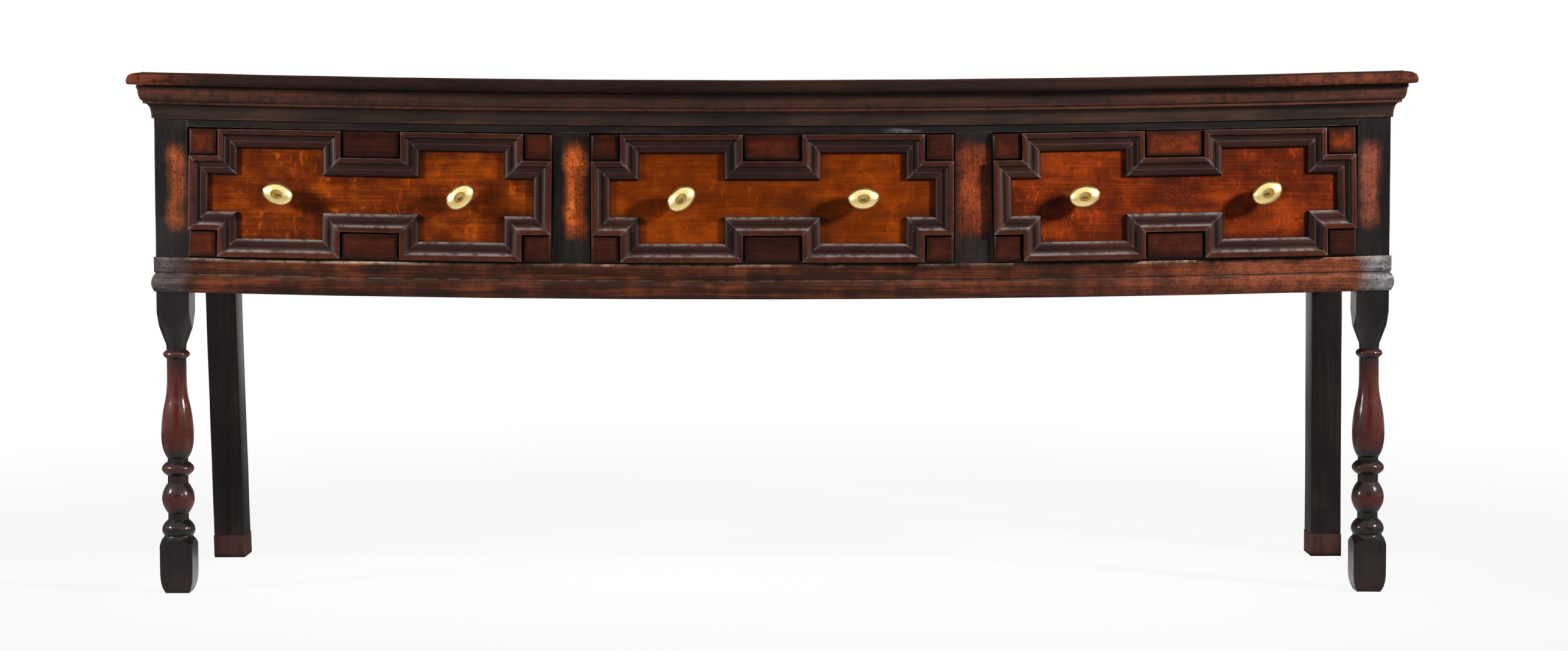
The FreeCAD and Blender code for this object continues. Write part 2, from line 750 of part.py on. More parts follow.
def drawer_back(nails):
    inner = drawer_half - drawer_side_thickness
    board = block(-inner, inner, drawer_box_back - drawer_back_thickness, drawer_box_back,
                  drawer_floor, drawer_box_top)
    return whole(board.cut(nails))


def drawer_base(nails):
    board = block(-drawer_half, drawer_half, drawer_box_front, drawer_box_back,
                  drawer_floor - drawer_bottom_thickness, drawer_floor)
    return whole(board.cut(nails))


# Case
pieces = {}
top_pegs_made = top_pegs()
right_pegs = frame_pegs()
all_pegs = right_pegs + [mirrored(p) for p in right_pegs]
right_bearer = end_bearer()
right_centre_bearer = centre_bearer()
right_muntin = muntin()
both_muntins = [right_muntin, mirrored(right_muntin)]
top_rail_blank = rail(head, case_top)
bottom_rail_blank = rail(leg_height, rail_top)
end_board_blank = end_board()
back_board_blank = back_board()

board_edge = top_front_board_width
front_board = thumbnail() + [(board_edge, top_thickness), (board_edge, 0)]
pieces["top_board_front"] = top_board(moved(front_board, lambda a, b: (top_front + a, b)))
pieces["top_board_rear"] = top_board(rectangle(top_front + board_edge, top_back, 0, top_thickness))
pieces["top_pegs"] = top_pegs_made

joined_front = [top_rail_blank, bottom_rail_blank, end_board_blank, right_bearer] + right_pegs
pieces["front_leg_right"] = front_leg(joined_front)
pieces["front_leg_left"] = mirrored(pieces["front_leg_right"])
joined_rear = [end_board_blank, back_board_blank, right_bearer] + right_pegs
pieces["rear_leg_right"] = rear_leg(1, joined_rear)
pieces["rear_leg_left"] = rear_leg(-1, [mirrored(piece) for piece in joined_rear])
pieces["rear_foot_tip_right"] = foot_tip(1)
pieces["rear_foot_tip_left"] = foot_tip(-1)
pieces["front_top_rail"] = whole(top_rail_blank.cut(both_muntins + all_pegs + top_pegs_made))
pieces["front_bottom_rail"] = whole(bottom_rail_blank.cut(both_muntins + all_pegs))
pieces["muntin_right"] = whole(right_muntin.cut(right_centre_bearer))
pieces["muntin_left"] = mirrored(pieces["muntin_right"])
pieces["end_board_right"] = whole(end_board_blank.cut(right_pegs + top_pegs_made))
pieces["end_board_left"] = mirrored(pieces["end_board_right"])
back_cuts = [right_centre_bearer, mirrored(right_centre_bearer)]
pieces["back_board"] = whole(back_board_blank.cut(back_cuts + all_pegs + top_pegs_made))
pieces["end_bearer_right"] = right_bearer
pieces["end_bearer_left"] = mirrored(right_bearer)
pieces["centre_bearer_right"] = right_centre_bearer
pieces["centre_bearer_left"] = mirrored(right_centre_bearer)
pieces["frame_pegs"] = all_pegs + [tip_dowel(1), tip_dowel(-1)]
pieces["cornice_front"] = front_moulding(cornice_path(), case_top, cornice_fascia_out)
pieces["cornice_right"] = end_moulding(raised(cornice_path(), spare), case_top, cornice_fascia_out)
pieces["cornice_left"] = mirrored(pieces["cornice_right"])
pieces["base_moulding_front"] = front_moulding(base_path(), leg_height, base_bead_out)
pieces["base_moulding_right"] = end_moulding(base_path(), leg_height, base_bead_out)
pieces["base_moulding_left"] = mirrored(pieces["base_moulding_right"])

# Drawers: one is built in the middle of the case, and a copy is carried along the arc to each opening
nails = drawer_nails()
right_side = drawer_side(nails)
drawer_pieces = {
    "front": drawer_front(nails),
    "side_left": mirrored(right_side),
    "side_right": right_side,
    "back": drawer_back(nails),
    "bottom": drawer_base(nails),
    "mouldings": moulding_strips(),
    "plaques": plaques(),
    "knob_nuts": [nut(-knob_x()), nut(knob_x())],
    "nails": nails,
}
for place, x in (("left", -bay_pitch), ("middle", 0.0), ("right", bay_pitch)):
    tilt_left, tilt_right = knob_tilts[place]
    own = dict(drawer_pieces, knob_left=knob(-knob_x(), tilt_left), knob_right=knob(knob_x(), tilt_right))
    for name, made in own.items():
        solids = made if isinstance(made, list) else [made]
        pieces[f"{place}_drawer_{name}"] = [at_station(solid, x, bay_middle) for solid in solids]

os.makedirs("parts", exist_ok=True)
for name, made in pieces.items():
    solids = made if isinstance(made, list) else [made]
    for solid in solids:
        if not solid.isValid() or solid.Volume <= 0:
            raise ValueError(f"{name} is not a sound solid")
    shape = solids[0] if len(solids) == 1 else Part.makeCompound(solids)
    shape.exportStep(f"parts/{name}.step")
overall = (2 * top_end, top_back - top_front, level(case_top + top_thickness, top_end))
print(len(pieces), "nodes; overall", " x ".join(f"{size:.1f}" for size in overall))
print("drawer front", round(drawer_width, 1), "x", round(drawer_height, 1), "knob at", round(knob_x(), 1))
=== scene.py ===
# %% [markdown]
# # An oak dresser base with three drawers
#
# This lesson dresses a measured model of an old oak dresser base: a long low table with a moulded top,
# three drawers with applied mouldings, turned front legs and plain rear legs. The measured model gives
# every piece its size and place. Here the pieces that show are made again with worn edges, and everything
# gets its finish: dark stained oak, orange where hands and cloths have worn it, and polished brass.
#
# The first cell loads the measured model. Its pieces are the frame that everything below is fitted to.

# %% Load the measured frame
import math
import bmesh
import bpy
from mathutils import Matrix, Vector, noise


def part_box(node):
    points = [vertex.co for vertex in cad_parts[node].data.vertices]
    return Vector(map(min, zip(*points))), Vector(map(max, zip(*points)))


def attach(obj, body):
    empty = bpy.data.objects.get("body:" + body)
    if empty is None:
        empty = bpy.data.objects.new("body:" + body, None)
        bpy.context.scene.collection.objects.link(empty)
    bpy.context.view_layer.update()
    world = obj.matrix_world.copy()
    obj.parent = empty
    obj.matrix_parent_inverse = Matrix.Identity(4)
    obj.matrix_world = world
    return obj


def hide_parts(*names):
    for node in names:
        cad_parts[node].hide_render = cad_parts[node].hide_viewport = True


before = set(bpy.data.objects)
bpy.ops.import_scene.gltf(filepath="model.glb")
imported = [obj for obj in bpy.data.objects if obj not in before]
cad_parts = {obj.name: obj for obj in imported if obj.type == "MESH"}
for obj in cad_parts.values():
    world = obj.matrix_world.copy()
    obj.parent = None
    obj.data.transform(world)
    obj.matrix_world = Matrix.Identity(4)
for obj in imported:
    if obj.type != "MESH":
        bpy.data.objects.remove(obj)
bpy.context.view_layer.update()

MM = 0.001

# %% [markdown]
# ## The sag
#
# After more than three centuries the long boards hang lower in the middle. The frame draws that as one
# very large circle about a line far above the case, so every long piece here follows the same circle.
# A height is always given as it is at the posts, and `settled` says how low the same line lies in the
# middle. `turn_at` is the angle that carries something from the middle out to a place x along the case.

# %% The arc that the long members follow
SPAN_HALF = 884.5 * MM
SAG = 11.5 * MM
RAIL_TOP = 514.0 * MM
ARC_RADIUS = (SPAN_HALF ** 2 + SAG ** 2) / (2 * SAG)
AXIS_HEIGHT = RAIL_TOP - SAG + ARC_RADIUS
AXIS = Vector((0.0, 0.0, AXIS_HEIGHT))


def settled(z):
    """The height in the middle of the case of a line that lies at z at the posts."""
    return AXIS_HEIGHT - math.hypot(SPAN_HALF, AXIS_HEIGHT - z)


def level(z, x):
    """The height at x of a line that lies at z at the posts."""
    return AXIS_HEIGHT - math.sqrt((AXIS_HEIGHT - settled(z)) ** 2 - x ** 2)


def turn_at(x, z=RAIL_TOP):
    return math.asin(x / (AXIS_HEIGHT - settled(z)))


def at_posts(x, z):
    """The height at the posts of the line on which a point lies."""
    return AXIS_HEIGHT - math.sqrt(x ** 2 + (AXIS_HEIGHT - z) ** 2 - SPAN_HALF ** 2)


print("radius of the sag:", round(ARC_RADIUS, 2), "m")

# %% [markdown]
# ## The camera
#
# The photograph was taken from straight in front, a little below the level of the top, with a long lens.
# The place and the lens come from matching the corners of the case in the picture. A camera set by eye
# would leave every edge a little off.

# %% Camera
CAMERA_PLACE = (17.55 * MM, -5093.2 * MM, 719.4 * MM)
CAMERA_PITCH_DOWN = 3.648
CAMERA_ROLL = 0.067
camera = bpy.data.objects.new("camera", bpy.data.cameras.new("camera"))
bpy.context.scene.collection.objects.link(camera)
camera.data.lens = 73.84
camera.data.sensor_width = 36.0
camera.data.clip_end = 100.0
camera.location = CAMERA_PLACE
camera.rotation_euler = (math.radians(90 - CAMERA_PITCH_DOWN), math.radians(CAMERA_ROLL), 0.0)
bpy.context.scene.camera = camera
bpy.context.scene.view_settings.view_transform = "Standard"
print("camera", round(-camera.location.y, 2), "m in front")

# %% [markdown]
# ## Nodes for the finishes
#
# Every finish is a small network of nodes. These helpers add one node at a time and join it to others:
# an input is either a plain value or the output of a node made before it.

# %% Helpers for materials


def srgb(red, green, blue):
    """A colour as a painter reads it off a screen, turned into the linear values that Blender mixes."""
    def linear(value):
        share = value / 255
        return share / 12.92 if share <= 0.04045 else ((share + 0.055) / 1.055) ** 2.4
    return linear(red), linear(green), linear(blue), 1.0


def add(tree, kind, inputs=(), **settings):
    node = tree.nodes.new(kind)
    for key, value in settings.items():
        setattr(node, key, value)
    for key, value in dict(inputs).items():
        if isinstance(value, bpy.types.NodeSocket):
            tree.links.new(value, node.inputs[key])
        else:
            node.inputs[key].default_value = value
    return node


def mix(tree, factor, first, second):
    node = add(tree, "ShaderNodeMix", {0: factor, 6: first, 7: second}, data_type="RGBA")
    return node.outputs[2]


def maths(tree, operation, first, second=0.0):
    return add(tree, "ShaderNodeMath", {0: first, 1: second}, operation=operation).outputs[0]


def times(tree, first, second):
    return maths(tree, "MULTIPLY", first, second)


def spread(tree, value, low, high, to_low=0.0, to_high=1.0):
    """Maps low to high onto another range, with soft ends."""
    node = add(tree, "ShaderNodeMapRange", {0: value, 1: low, 2: high, 3: to_low, 4: to_high},
               interpolation_type="SMOOTHSTEP")
    return node.outputs[0]


def blank_finish(name):
    finish = bpy.data.materials.new(name)
    finish.use_nodes = True
    finish.node_tree.nodes.clear()
    skin = finish.node_tree.nodes.new("ShaderNodeBsdfPrincipled")
    add(finish.node_tree, "ShaderNodeOutputMaterial", {"Surface": skin.outputs["BSDF"]})
    return finish, finish.node_tree, skin


print("black, grey and white as mixed:", [round(srgb(v, v, v)[0], 3) for v in (0, 128, 255)])

# %% [markdown]
# ## The grain of oak
#
# Oak has long streaks, fine lines and short dark pores, all running along the board. A picture of a board
# could be laid on, but it would repeat and show its seams. Noise that is stretched along the grain gives
# each of these marks and never repeats. Streaks, clouds and lines together make the tone, and three shades
# of stain are laid over it. Quarter-sawn boards also show bright flecks across the grain.

# %% Grain
TURN_TO_GRAIN = {"X": (0.0, 0.0, 0.0), "Y": (0.0, 0.0, math.radians(-90)), "Z": (0.0, math.radians(90), 0.0)}
LINE_STRETCH = (7.0, 300.0, 300.0)
PORE_STRETCH = (30.0, 1000.0, 1000.0)
FLECK_STRETCH = (80.0, 120.0, 36.0)
STREAK_SHARE, CLOUD_SHARE, LINE_SHARE = 0.4, 0.4, 0.2
DEEP_AT, BODY_AT, BRIGHT_AT = 0.39, 0.5, 0.61


def stretched(tree, vector, stretch, detail=3.0, distortion=0.0):
    scaled = add(tree, "ShaderNodeVectorMath", {0: vector, 1: stretch}, operation="MULTIPLY")
    marks = add(tree, "ShaderNodeTexNoise", {"Vector": scaled.outputs[0], "Scale": 1.0, "Detail": detail,
                                             "Roughness": 0.6, "Distortion": distortion})
    return marks.outputs["Fac"]


def clouded(tree, vector, scale, roughness=0.6):
    marks = add(tree, "ShaderNodeTexNoise", {"Vector": vector, "Scale": scale, "Detail": 5.0,
                                             "Roughness": roughness})
    return marks.outputs["Fac"]


def grain(tree, board, cloud, streak):
    """Fine lines, pores, and the tone that streaks, clouds and lines make together."""
    figure = stretched(tree, board, streak, detail=5.0, distortion=0.5)
    lines = stretched(tree, board, LINE_STRETCH)
    pores = spread(tree, stretched(tree, board, PORE_STRETCH, detail=1.0), 0.58, 0.72)
    tone = maths(tree, "ADD", times(tree, figure, STREAK_SHARE), times(tree, cloud, CLOUD_SHARE))
    tone = maths(tree, "ADD", tone, times(tree, lines, LINE_SHARE))
    return lines, pores, tone


def stain(tree, tone, deep, body, bright):
    ramp = add(tree, "ShaderNodeValToRGB", {0: tone})
    shades = ramp.color_ramp.elements
    shades[0].position, shades[0].color = DEEP_AT, deep
    shades[1].position, shades[1].color = BRIGHT_AT, bright
    shades.new(BODY_AT).color = body
    return ramp.outputs["Color"]


def flecked(tree, colour, board, cloud, fleck):
    marks = stretched(tree, board, FLECK_STRETCH, detail=2.0, distortion=1.6)
    marks = times(tree, spread(tree, marks, 0.56, 0.68), spread(tree, cloud, 0.47, 0.6, 0.1, 0.7))
    return mix(tree, marks, colour, fleck)


print("grain runs along", sorted(TURN_TO_GRAIN))

# %% [markdown]
# ## Wear and painted highlights
#
# Three kinds of wear lie over the stain. A worn patch is a place on the front of the case that shows other
# colours, with an uneven border and some specks of stain left in it. The attribute `rubbed`, which a mesh
# carries on its vertices, marks whole areas that polishing has brightened; on the drawer strips it also
# carries painted shade on the upper lengths and painted light on the lower ones. Arrises are found by
# Ambient Occlusion that looks into the wood: near an edge it soon comes out again, and their pale colour is
# wear and also a painted highlight along the edges. All three are broken up by noise, because even wear
# looks painted.

# %% Worn patches, rubbed areas and arrises
MOTTLE_SCALE = 85.0
WEAR_SPECK_SCALE = 300.0
ARRIS_GAP_SCALE = 48.0
BORDER_SCALE = 38.0


def speckled(tree, vector, scale, low, high):
    return spread(tree, clouded(tree, vector, scale, roughness=0.65), low, high)


def worn_patch(x, z, half_width, half_height, ragged, share, wear):
    """A place on the front of the case that shows other colours, from the lower to the higher of the wear."""
    return {"place": (x, z, half_width, half_height, ragged), "share": share, "low": wear[0], "high": wear[1]}


def patch_mask(tree, x, z, half_width, half_height, ragged):
    """A soft patch with an uneven border."""
    where = add(tree, "ShaderNodeTexCoord").outputs["Object"]
    moved = add(tree, "ShaderNodeMapping", {"Vector": where, "Location": (-x, 0.0, -z)})
    ripple = add(tree, "ShaderNodeTexNoise", {"Vector": where, "Scale": BORDER_SCALE, "Detail": 4.0})
    wander = add(tree, "ShaderNodeVectorMath", {0: ripple.outputs["Color"], 1: (0.5, 0.5, 0.5)},
                 operation="SUBTRACT")
    wander = add(tree, "ShaderNodeVectorMath", {0: wander.outputs[0], "Scale": ragged}, operation="SCALE")
    moved = add(tree, "ShaderNodeVectorMath", {0: moved.outputs[0], 1: wander.outputs[0]})
    parts = add(tree, "ShaderNodeSeparateXYZ", {0: moved.outputs[0]})
    across = spread(tree, maths(tree, "ABSOLUTE", parts.outputs["X"]), half_width, 0.2 * half_width)
    along = spread(tree, maths(tree, "ABSOLUTE", parts.outputs["Z"]), half_height, 0.6 * half_height)
    return times(tree, across, along)


def patched(tree, colour, patch, where, tone, mottled):
    specks = speckled(tree, where, WEAR_SPECK_SCALE, 0.52, 0.62)
    bare = maths(tree, "SUBTRACT", 1.0, times(tree, specks, 0.75))
    area = times(tree, patch_mask(tree, *patch["place"]), times(tree, bare, patch["share"]))
    shade = times(tree, spread(tree, tone, 0.36, 0.6), spread(tree, mottled, 0.0, 1.0, 0.45, 1.05))
    return mix(tree, area, colour, mix(tree, shade, patch["low"], patch["high"]))


def polished(tree, colour, rubbed, tone, mottled, evenness):
    area = add(tree, "ShaderNodeAttribute", attribute_name="rubbed").outputs["Fac"]
    area = times(tree, area, spread(tree, tone, 0.36, 0.56, evenness, 1.0))
    return mix(tree, times(tree, area, mottled), colour, rubbed)


# Pales the arrises that Ambient Occlusion finds inside the wood: wear, and a painted highlight along the
# edges.
def worn_and_highlit_arrises(tree, colour, where, edge, share, reach):
    inside = add(tree, "ShaderNodeAmbientOcclusion", {"Distance": reach}, samples=8, inside=True,
                 only_local=True)
    arris = spread(tree, inside.outputs["AO"], 0.9, 0.5, 0.0, share)
    return mix(tree, times(tree, arris, speckled(tree, where, ARRIS_GAP_SCALE, 0.36, 0.62)), colour, edge)


print("spots to a metre:", MOTTLE_SCALE, WEAR_SPECK_SCALE, ARRIS_GAP_SCALE, BORDER_SCALE)

# %% [markdown]
# ## Dirt, painted light, polish and the whole finish
#
# Dirt comes last, as it did on the wood: dust on what faces up, which also paints on the light that falls
# from above, and grime in the corners, which Ambient Occlusion finds when it looks outwards; that grime is
# partly painted shade in corners, in recesses and under overhangs. Pores and fine lines also raise the
# surface a little, and clouds make the polish uneven. One function puts all of this together, so that every
# board looks cut from the same timber, and a finish is only a choice of shades, figure, wear and polish.

# %% Oak finish
# The grime colour is dirt in corners and also the painted shade that Ambient Occlusion lays there.
GRIME_AND_SHADE = srgb(17, 13, 11)
# Pale dust on upward faces, which also paints on the light that falls from above.
DUST_AND_TOP_LIGHT = srgb(150, 140, 136)
STAIN_SPECK_SCALE = 170.0


# Pales what faces up: dust, and painted light from above on upward slopes.
def dusty_and_lit_from_above(tree, colour, share, mottled):
    facing = add(tree, "ShaderNodeTexCoord").outputs["Normal"]
    upward = add(tree, "ShaderNodeSeparateXYZ", {0: facing}).outputs["Z"]
    return mix(tree, times(tree, spread(tree, upward, 0.2, 0.8, 0.0, share), mottled), colour, DUST_AND_TOP_LIGHT)


def oak(name, along, deep, body, bright, seed, streak=(3.0, 42.0, 42.0), cloud_scale=6.0, pore_share=0.5,
        fleck=None, patches=(), rubbed=None, evenness=0.3, edge=None, edge_share=0.6, edge_reach=0.0024,
        dust_and_top_light_share=0.0, grime_and_shade_reach=0.012, grime_and_shade_share=0.9, gloss=0.24, shine=0.12, relief=0.35):
    finish, tree, skin = blank_finish(name)
    where = add(tree, "ShaderNodeTexCoord").outputs["Object"]
    board = add(tree, "ShaderNodeMapping", {"Vector": where, "Rotation": TURN_TO_GRAIN[along],
                                            "Location": (seed, 0.37 * seed, 0.61 * seed)}).outputs[0]
    cloud = clouded(tree, board, cloud_scale)
    lines, pores, tone = grain(tree, board, cloud, streak)
    colour = stain(tree, tone, deep, body, bright)
    if fleck:
        colour = flecked(tree, colour, board, cloud, fleck)
    mottled = spread(tree, speckled(tree, where, MOTTLE_SCALE, 0.36, 0.58), 0.0, 1.0, evenness, 1.0)
    for patch in patches:
        colour = patched(tree, colour, patch, where, tone, mottled)
    if rubbed:
        colour = polished(tree, colour, rubbed, tone, mottled, evenness)
    colour = mix(tree, times(tree, pores, pore_share), colour, deep)
    if edge:
        colour = worn_and_highlit_arrises(tree, colour, where, edge, edge_share, edge_reach)
    specks = speckled(tree, where, STAIN_SPECK_SCALE, 0.56, 0.74)
    colour = mix(tree, times(tree, specks, 0.5), colour, deep)
    if dust_and_top_light_share:
        colour = dusty_and_lit_from_above(tree, colour, dust_and_top_light_share, mottled)
    # Corners, recesses and the undersides of overhangs go towards the grime colour: partly dirt, partly
    # painted shade.
    grime_and_shade_occlusion = add(tree, "ShaderNodeAmbientOcclusion", {"Distance": grime_and_shade_reach}, samples=8)
    corner = spread(tree, grime_and_shade_occlusion.outputs["AO"], 0.92, 0.4, 0.0, grime_and_shade_share)
    tree.links.new(mix(tree, corner, colour, GRIME_AND_SHADE), skin.inputs["Base Color"])
    rough = maths(tree, "ADD", times(tree, cloud, 0.16), gloss - 0.08)
    rough = maths(tree, "ADD", rough, times(tree, corner, 0.2))
    tree.links.new(rough, skin.inputs["Roughness"])
    height = maths(tree, "SUBTRACT", times(tree, lines, 0.5), pores)
    bump = add(tree, "ShaderNodeBump", {"Height": height, "Strength": relief, "Distance": 0.4 * MM})
    tree.links.new(bump.outputs[0], skin.inputs["Normal"])
    skin.inputs["Specular IOR Level"].default_value = shine
    return finish


print("grime and dust are mixed from", GRIME_AND_SHADE[:3], DUST_AND_TOP_LIGHT[:3])

# %% [markdown]
# ## The finishes of the case
#
# The frame is nearly black. The cornice and the edge of the top are dark brown with red where they are
# rubbed. The base moulding is handled most: it is redder towards the right, and at both ends the stain has
# gone to grey. A scuff shows on the rail above the middle drawer. The tips of the rear feet are newer,
# redder wood, and the back was never polished. Such places could be painted on each piece by hand. Written
# as worn patches with a place on the front of the case, they need no picture and are easy to move.

# %% Shades and worn places of the case
BLACK_OAK = (srgb(22, 19, 18), srgb(32, 28, 27), srgb(48, 38, 33))
RED_OAK = (srgb(48, 30, 27), srgb(72, 48, 45), srgb(98, 64, 56))
TOP_OAK = (srgb(18, 14, 12), srgb(26, 20, 16), srgb(41, 28, 22))
CORNICE_OAK = (srgb(31, 25, 21), srgb(47, 37, 31), srgb(68, 48, 38))
BASE_OAK = (srgb(32, 19, 14), srgb(54, 28, 19), srgb(100, 51, 30))
END_OAK = (srgb(34, 27, 24), srgb(50, 38, 32), srgb(78, 52, 40))
BACK_OAK = (srgb(56, 42, 32), srgb(80, 60, 46), srgb(108, 82, 62))
REAR_LEG_OAK = (srgb(31, 26, 25), srgb(43, 37, 36), srgb(62, 52, 49))
PEG_OAK = (srgb(30, 22, 18), srgb(46, 33, 26), srgb(66, 48, 36))
PALE_EDGE = srgb(138, 120, 108)
GREY_EDGE = srgb(96, 84, 80)
RED_EDGE = srgb(128, 74, 52)
BASE_MIDDLE = 0.487
RAIL_EDGE = 0.702
RED_RUN = worn_patch(0.8, BASE_MIDDLE, 0.42, 0.06, 0.03, 0.85, (srgb(59, 30, 21), srgb(136, 73, 48)))
GREY_LEFT = worn_patch(-0.935, BASE_MIDDLE, 0.065, 0.05, 0.02, 0.85, (srgb(44, 43, 45), srgb(86, 85, 87)))
GREY_RIGHT = worn_patch(0.925, BASE_MIDDLE, 0.05, 0.05, 0.02, 0.9, (srgb(76, 77, 80), srgb(156, 156, 158)))
RAIL_SCUFF = worn_patch(0.197, RAIL_EDGE, 0.036, 0.005, 0.006, 0.8, (srgb(66, 66, 64), srgb(132, 136, 132)))
CORNICE_WEAR = {"edge": RED_EDGE, "edge_share": 0.4, "rubbed": srgb(118, 62, 47), "grime_and_shade_reach": 0.025,
                "grime_and_shade_share": 0.6}
BASE_WEAR = {"edge": PALE_EDGE, "edge_share": 0.3, "edge_reach": 0.0014, "rubbed": srgb(190, 158, 136),
             "grime_and_shade_reach": 0.008, "grime_and_shade_share": 0.5, "cloud_scale": 24.0, "streak": (6.0, 110.0, 110.0)}
worn_places = (RED_RUN, GREY_LEFT, GREY_RIGHT, RAIL_SCUFF)
print("worn places on the case at x", [patch["place"][0] for patch in worn_places])

# %% Make the finishes of the case
oak_top = oak("oak_top", "X", *TOP_OAK, seed=1.7, streak=(1.6, 60.0, 60.0), rubbed=srgb(118, 58, 38),
              edge=RED_EDGE, edge_share=0.4, gloss=0.6, shine=0.06)
oak_cornice = oak("oak_cornice", "X", *CORNICE_OAK, seed=4.1, **CORNICE_WEAR)
oak_cornice_end = oak("oak_cornice_end", "Y", *CORNICE_OAK, seed=5.3, **CORNICE_WEAR)
oak_base = oak("oak_base", "X", *BASE_OAK, seed=7.9, patches=(RED_RUN, GREY_LEFT, GREY_RIGHT), **BASE_WEAR)
oak_base_end = oak("oak_base_end", "Y", *BASE_OAK, seed=8.6, **BASE_WEAR)
oak_frame = oak("oak_frame", "X", *BLACK_OAK, seed=2.9, patches=[RAIL_SCUFF], edge=PALE_EDGE, edge_share=0.3)
oak_end_board = oak("oak_end_board", "Y", *END_OAK, seed=6.4, edge=PALE_EDGE)
oak_back = oak("oak_back", "X", *BACK_OAK, seed=9.2, streak=(1.4, 80.0, 80.0), cloud_scale=2.5, gloss=0.7)
oak_rear_leg = oak("oak_rear_leg", "Z", *REAR_LEG_OAK, seed=3.3, edge=GREY_EDGE, edge_share=0.4)
oak_tip = oak("oak_tip", "Z", *RED_OAK, seed=3.9, edge=PALE_EDGE, edge_share=0.4, gloss=0.5)
oak_peg = oak("oak_peg", "Z", *PEG_OAK, seed=13.0)
print("finishes of the case:", len(bpy.data.materials))

# %% [markdown]
# ## The finishes of the drawers
#
# The strips have a mauve tinge from pale edges, which are wear and painted highlight, and from dust and
# painted light from above on their upper slopes, and their flats are browner.
# The grain runs along each strip, so there is one finish for level strips and one for upright ones. The
# insides of the drawers were never stained, so they are a dusty pale brown.
#
# Each drawer front was cut from its own board, so the three fields differ: the left one is a mottled
# golden brown, the middle one plainer and browner, the right one redder with a dark stain in its middle.
# One network takes all three sets of shades, so the boards differ in colour but not in kind.

# %% Finishes of strips, plaques and linings
STRIP_OAK = (srgb(28, 13, 10), srgb(42, 20, 14), srgb(60, 30, 21))
PLAQUE_OAK = (srgb(34, 16, 12), srgb(45, 21, 15), srgb(60, 28, 18))
DUSTY_OAK = (srgb(84, 62, 44), srgb(112, 86, 62), srgb(140, 110, 80))
MAUVE_EDGE = srgb(138, 124, 126)
oak_strip = [oak(f"oak_strip_{way}", along, *STRIP_OAK, seed=14.2, rubbed=srgb(76, 33, 17), edge=MAUVE_EDGE,
                 edge_share=0.4, dust_and_top_light_share=0.5, grime_and_shade_reach=0.006, gloss=0.36, shine=0.17, relief=0.2)
             for way, along in (("level", "X"), ("upright", "Z"))]
oak_plaque = oak("oak_plaque", "X", *PLAQUE_OAK, seed=15.8, cloud_scale=24.0, rubbed=srgb(122, 51, 24),
                 edge=PALE_EDGE, edge_share=0.3, grime_and_shade_reach=0.006, grime_and_shade_share=0.4, shine=0.08)
oak_lining = oak("oak_lining", "X", *DUSTY_OAK, seed=11.1, grime_and_shade_share=0.5, gloss=0.75)
oak_lining_side = oak("oak_lining_side", "Y", *DUSTY_OAK, seed=12.4, grime_and_shade_share=0.5, gloss=0.75)
print("strips, plaques and linings:", [finish.name for finish in (*oak_strip, oak_plaque, oak_lining)])

# %% Finishes of the fields
FIELD_COLOURS = {
    "left": (srgb(62, 23, 6), srgb(93, 36, 8), srgb(140, 61, 11)),
    "middle": (srgb(80, 31, 5), srgb(107, 42, 6), srgb(139, 60, 9)),
    "right": (srgb(58, 18, 8), srgb(88, 31, 10), srgb(130, 50, 15)),
}
FIELD_FLECKS = {"left": srgb(168, 76, 16), "middle": srgb(140, 62, 12), "right": srgb(158, 62, 22)}
DARK_STAIN = worn_patch(0.608, 0.615, 0.06, 0.034, 0.03, 1.0, (srgb(40, 15, 9), srgb(78, 28, 12)))
FIELD_PATCHES = {"left": [], "middle": [], "right": [DARK_STAIN]}
oak_field = {place: oak(f"oak_field_{place}", "X", *colours, seed=20.0 + 3 * i, streak=(5.0, 26.0, 26.0),
                        cloud_scale=26.0, pore_share=0.4, fleck=FIELD_FLECKS[place],
                        patches=FIELD_PATCHES[place], grime_and_shade_reach=0.02, gloss=0.24, shine=0.08)
             for i, (place, colours) in enumerate(FIELD_COLOURS.items())}
print("fields:", sorted(oak_field))

# %% [markdown]
# ## Stiles rubbed by hands
#
# The two muntins between the drawers and the drawer side of both end stiles are rubbed to bright orange
# in the middle and black at their ends. That is the oak network again with a worn patch laid over it. The
# end stiles are one piece with the front legs, so their finish is that of the legs too: first a near-black
# patch over the leg block and the outer stile, which is painted shade, then the worn patch over it, and the
# bulges of the turning polished to red.

# %% Finishes of stiles and legs
MUNTIN_X = 304.0 * MM
MUNTIN_MIDDLE, STILE_MIDDLE = 0.614, 0.62
# A near-black patch over the leg block and the outer side of each end stile is painted shade.
LEG_SHADE_X, LEG_SHADE_MIDDLE = 0.925, 0.55
ORANGE_WEAR = srgb(110, 44, 16), srgb(222, 108, 46)
BROWN_WEAR = srgb(80, 38, 20), srgb(168, 84, 42)
RED_WEAR = srgb(80, 34, 18), srgb(152, 68, 36)
DULL_WEAR = srgb(60, 32, 25), srgb(150, 78, 56)
LEG_SHADE = srgb(12, 10, 10), srgb(22, 19, 19)
LEG_OAK = (srgb(18, 15, 14), srgb(27, 23, 22), srgb(42, 33, 29))

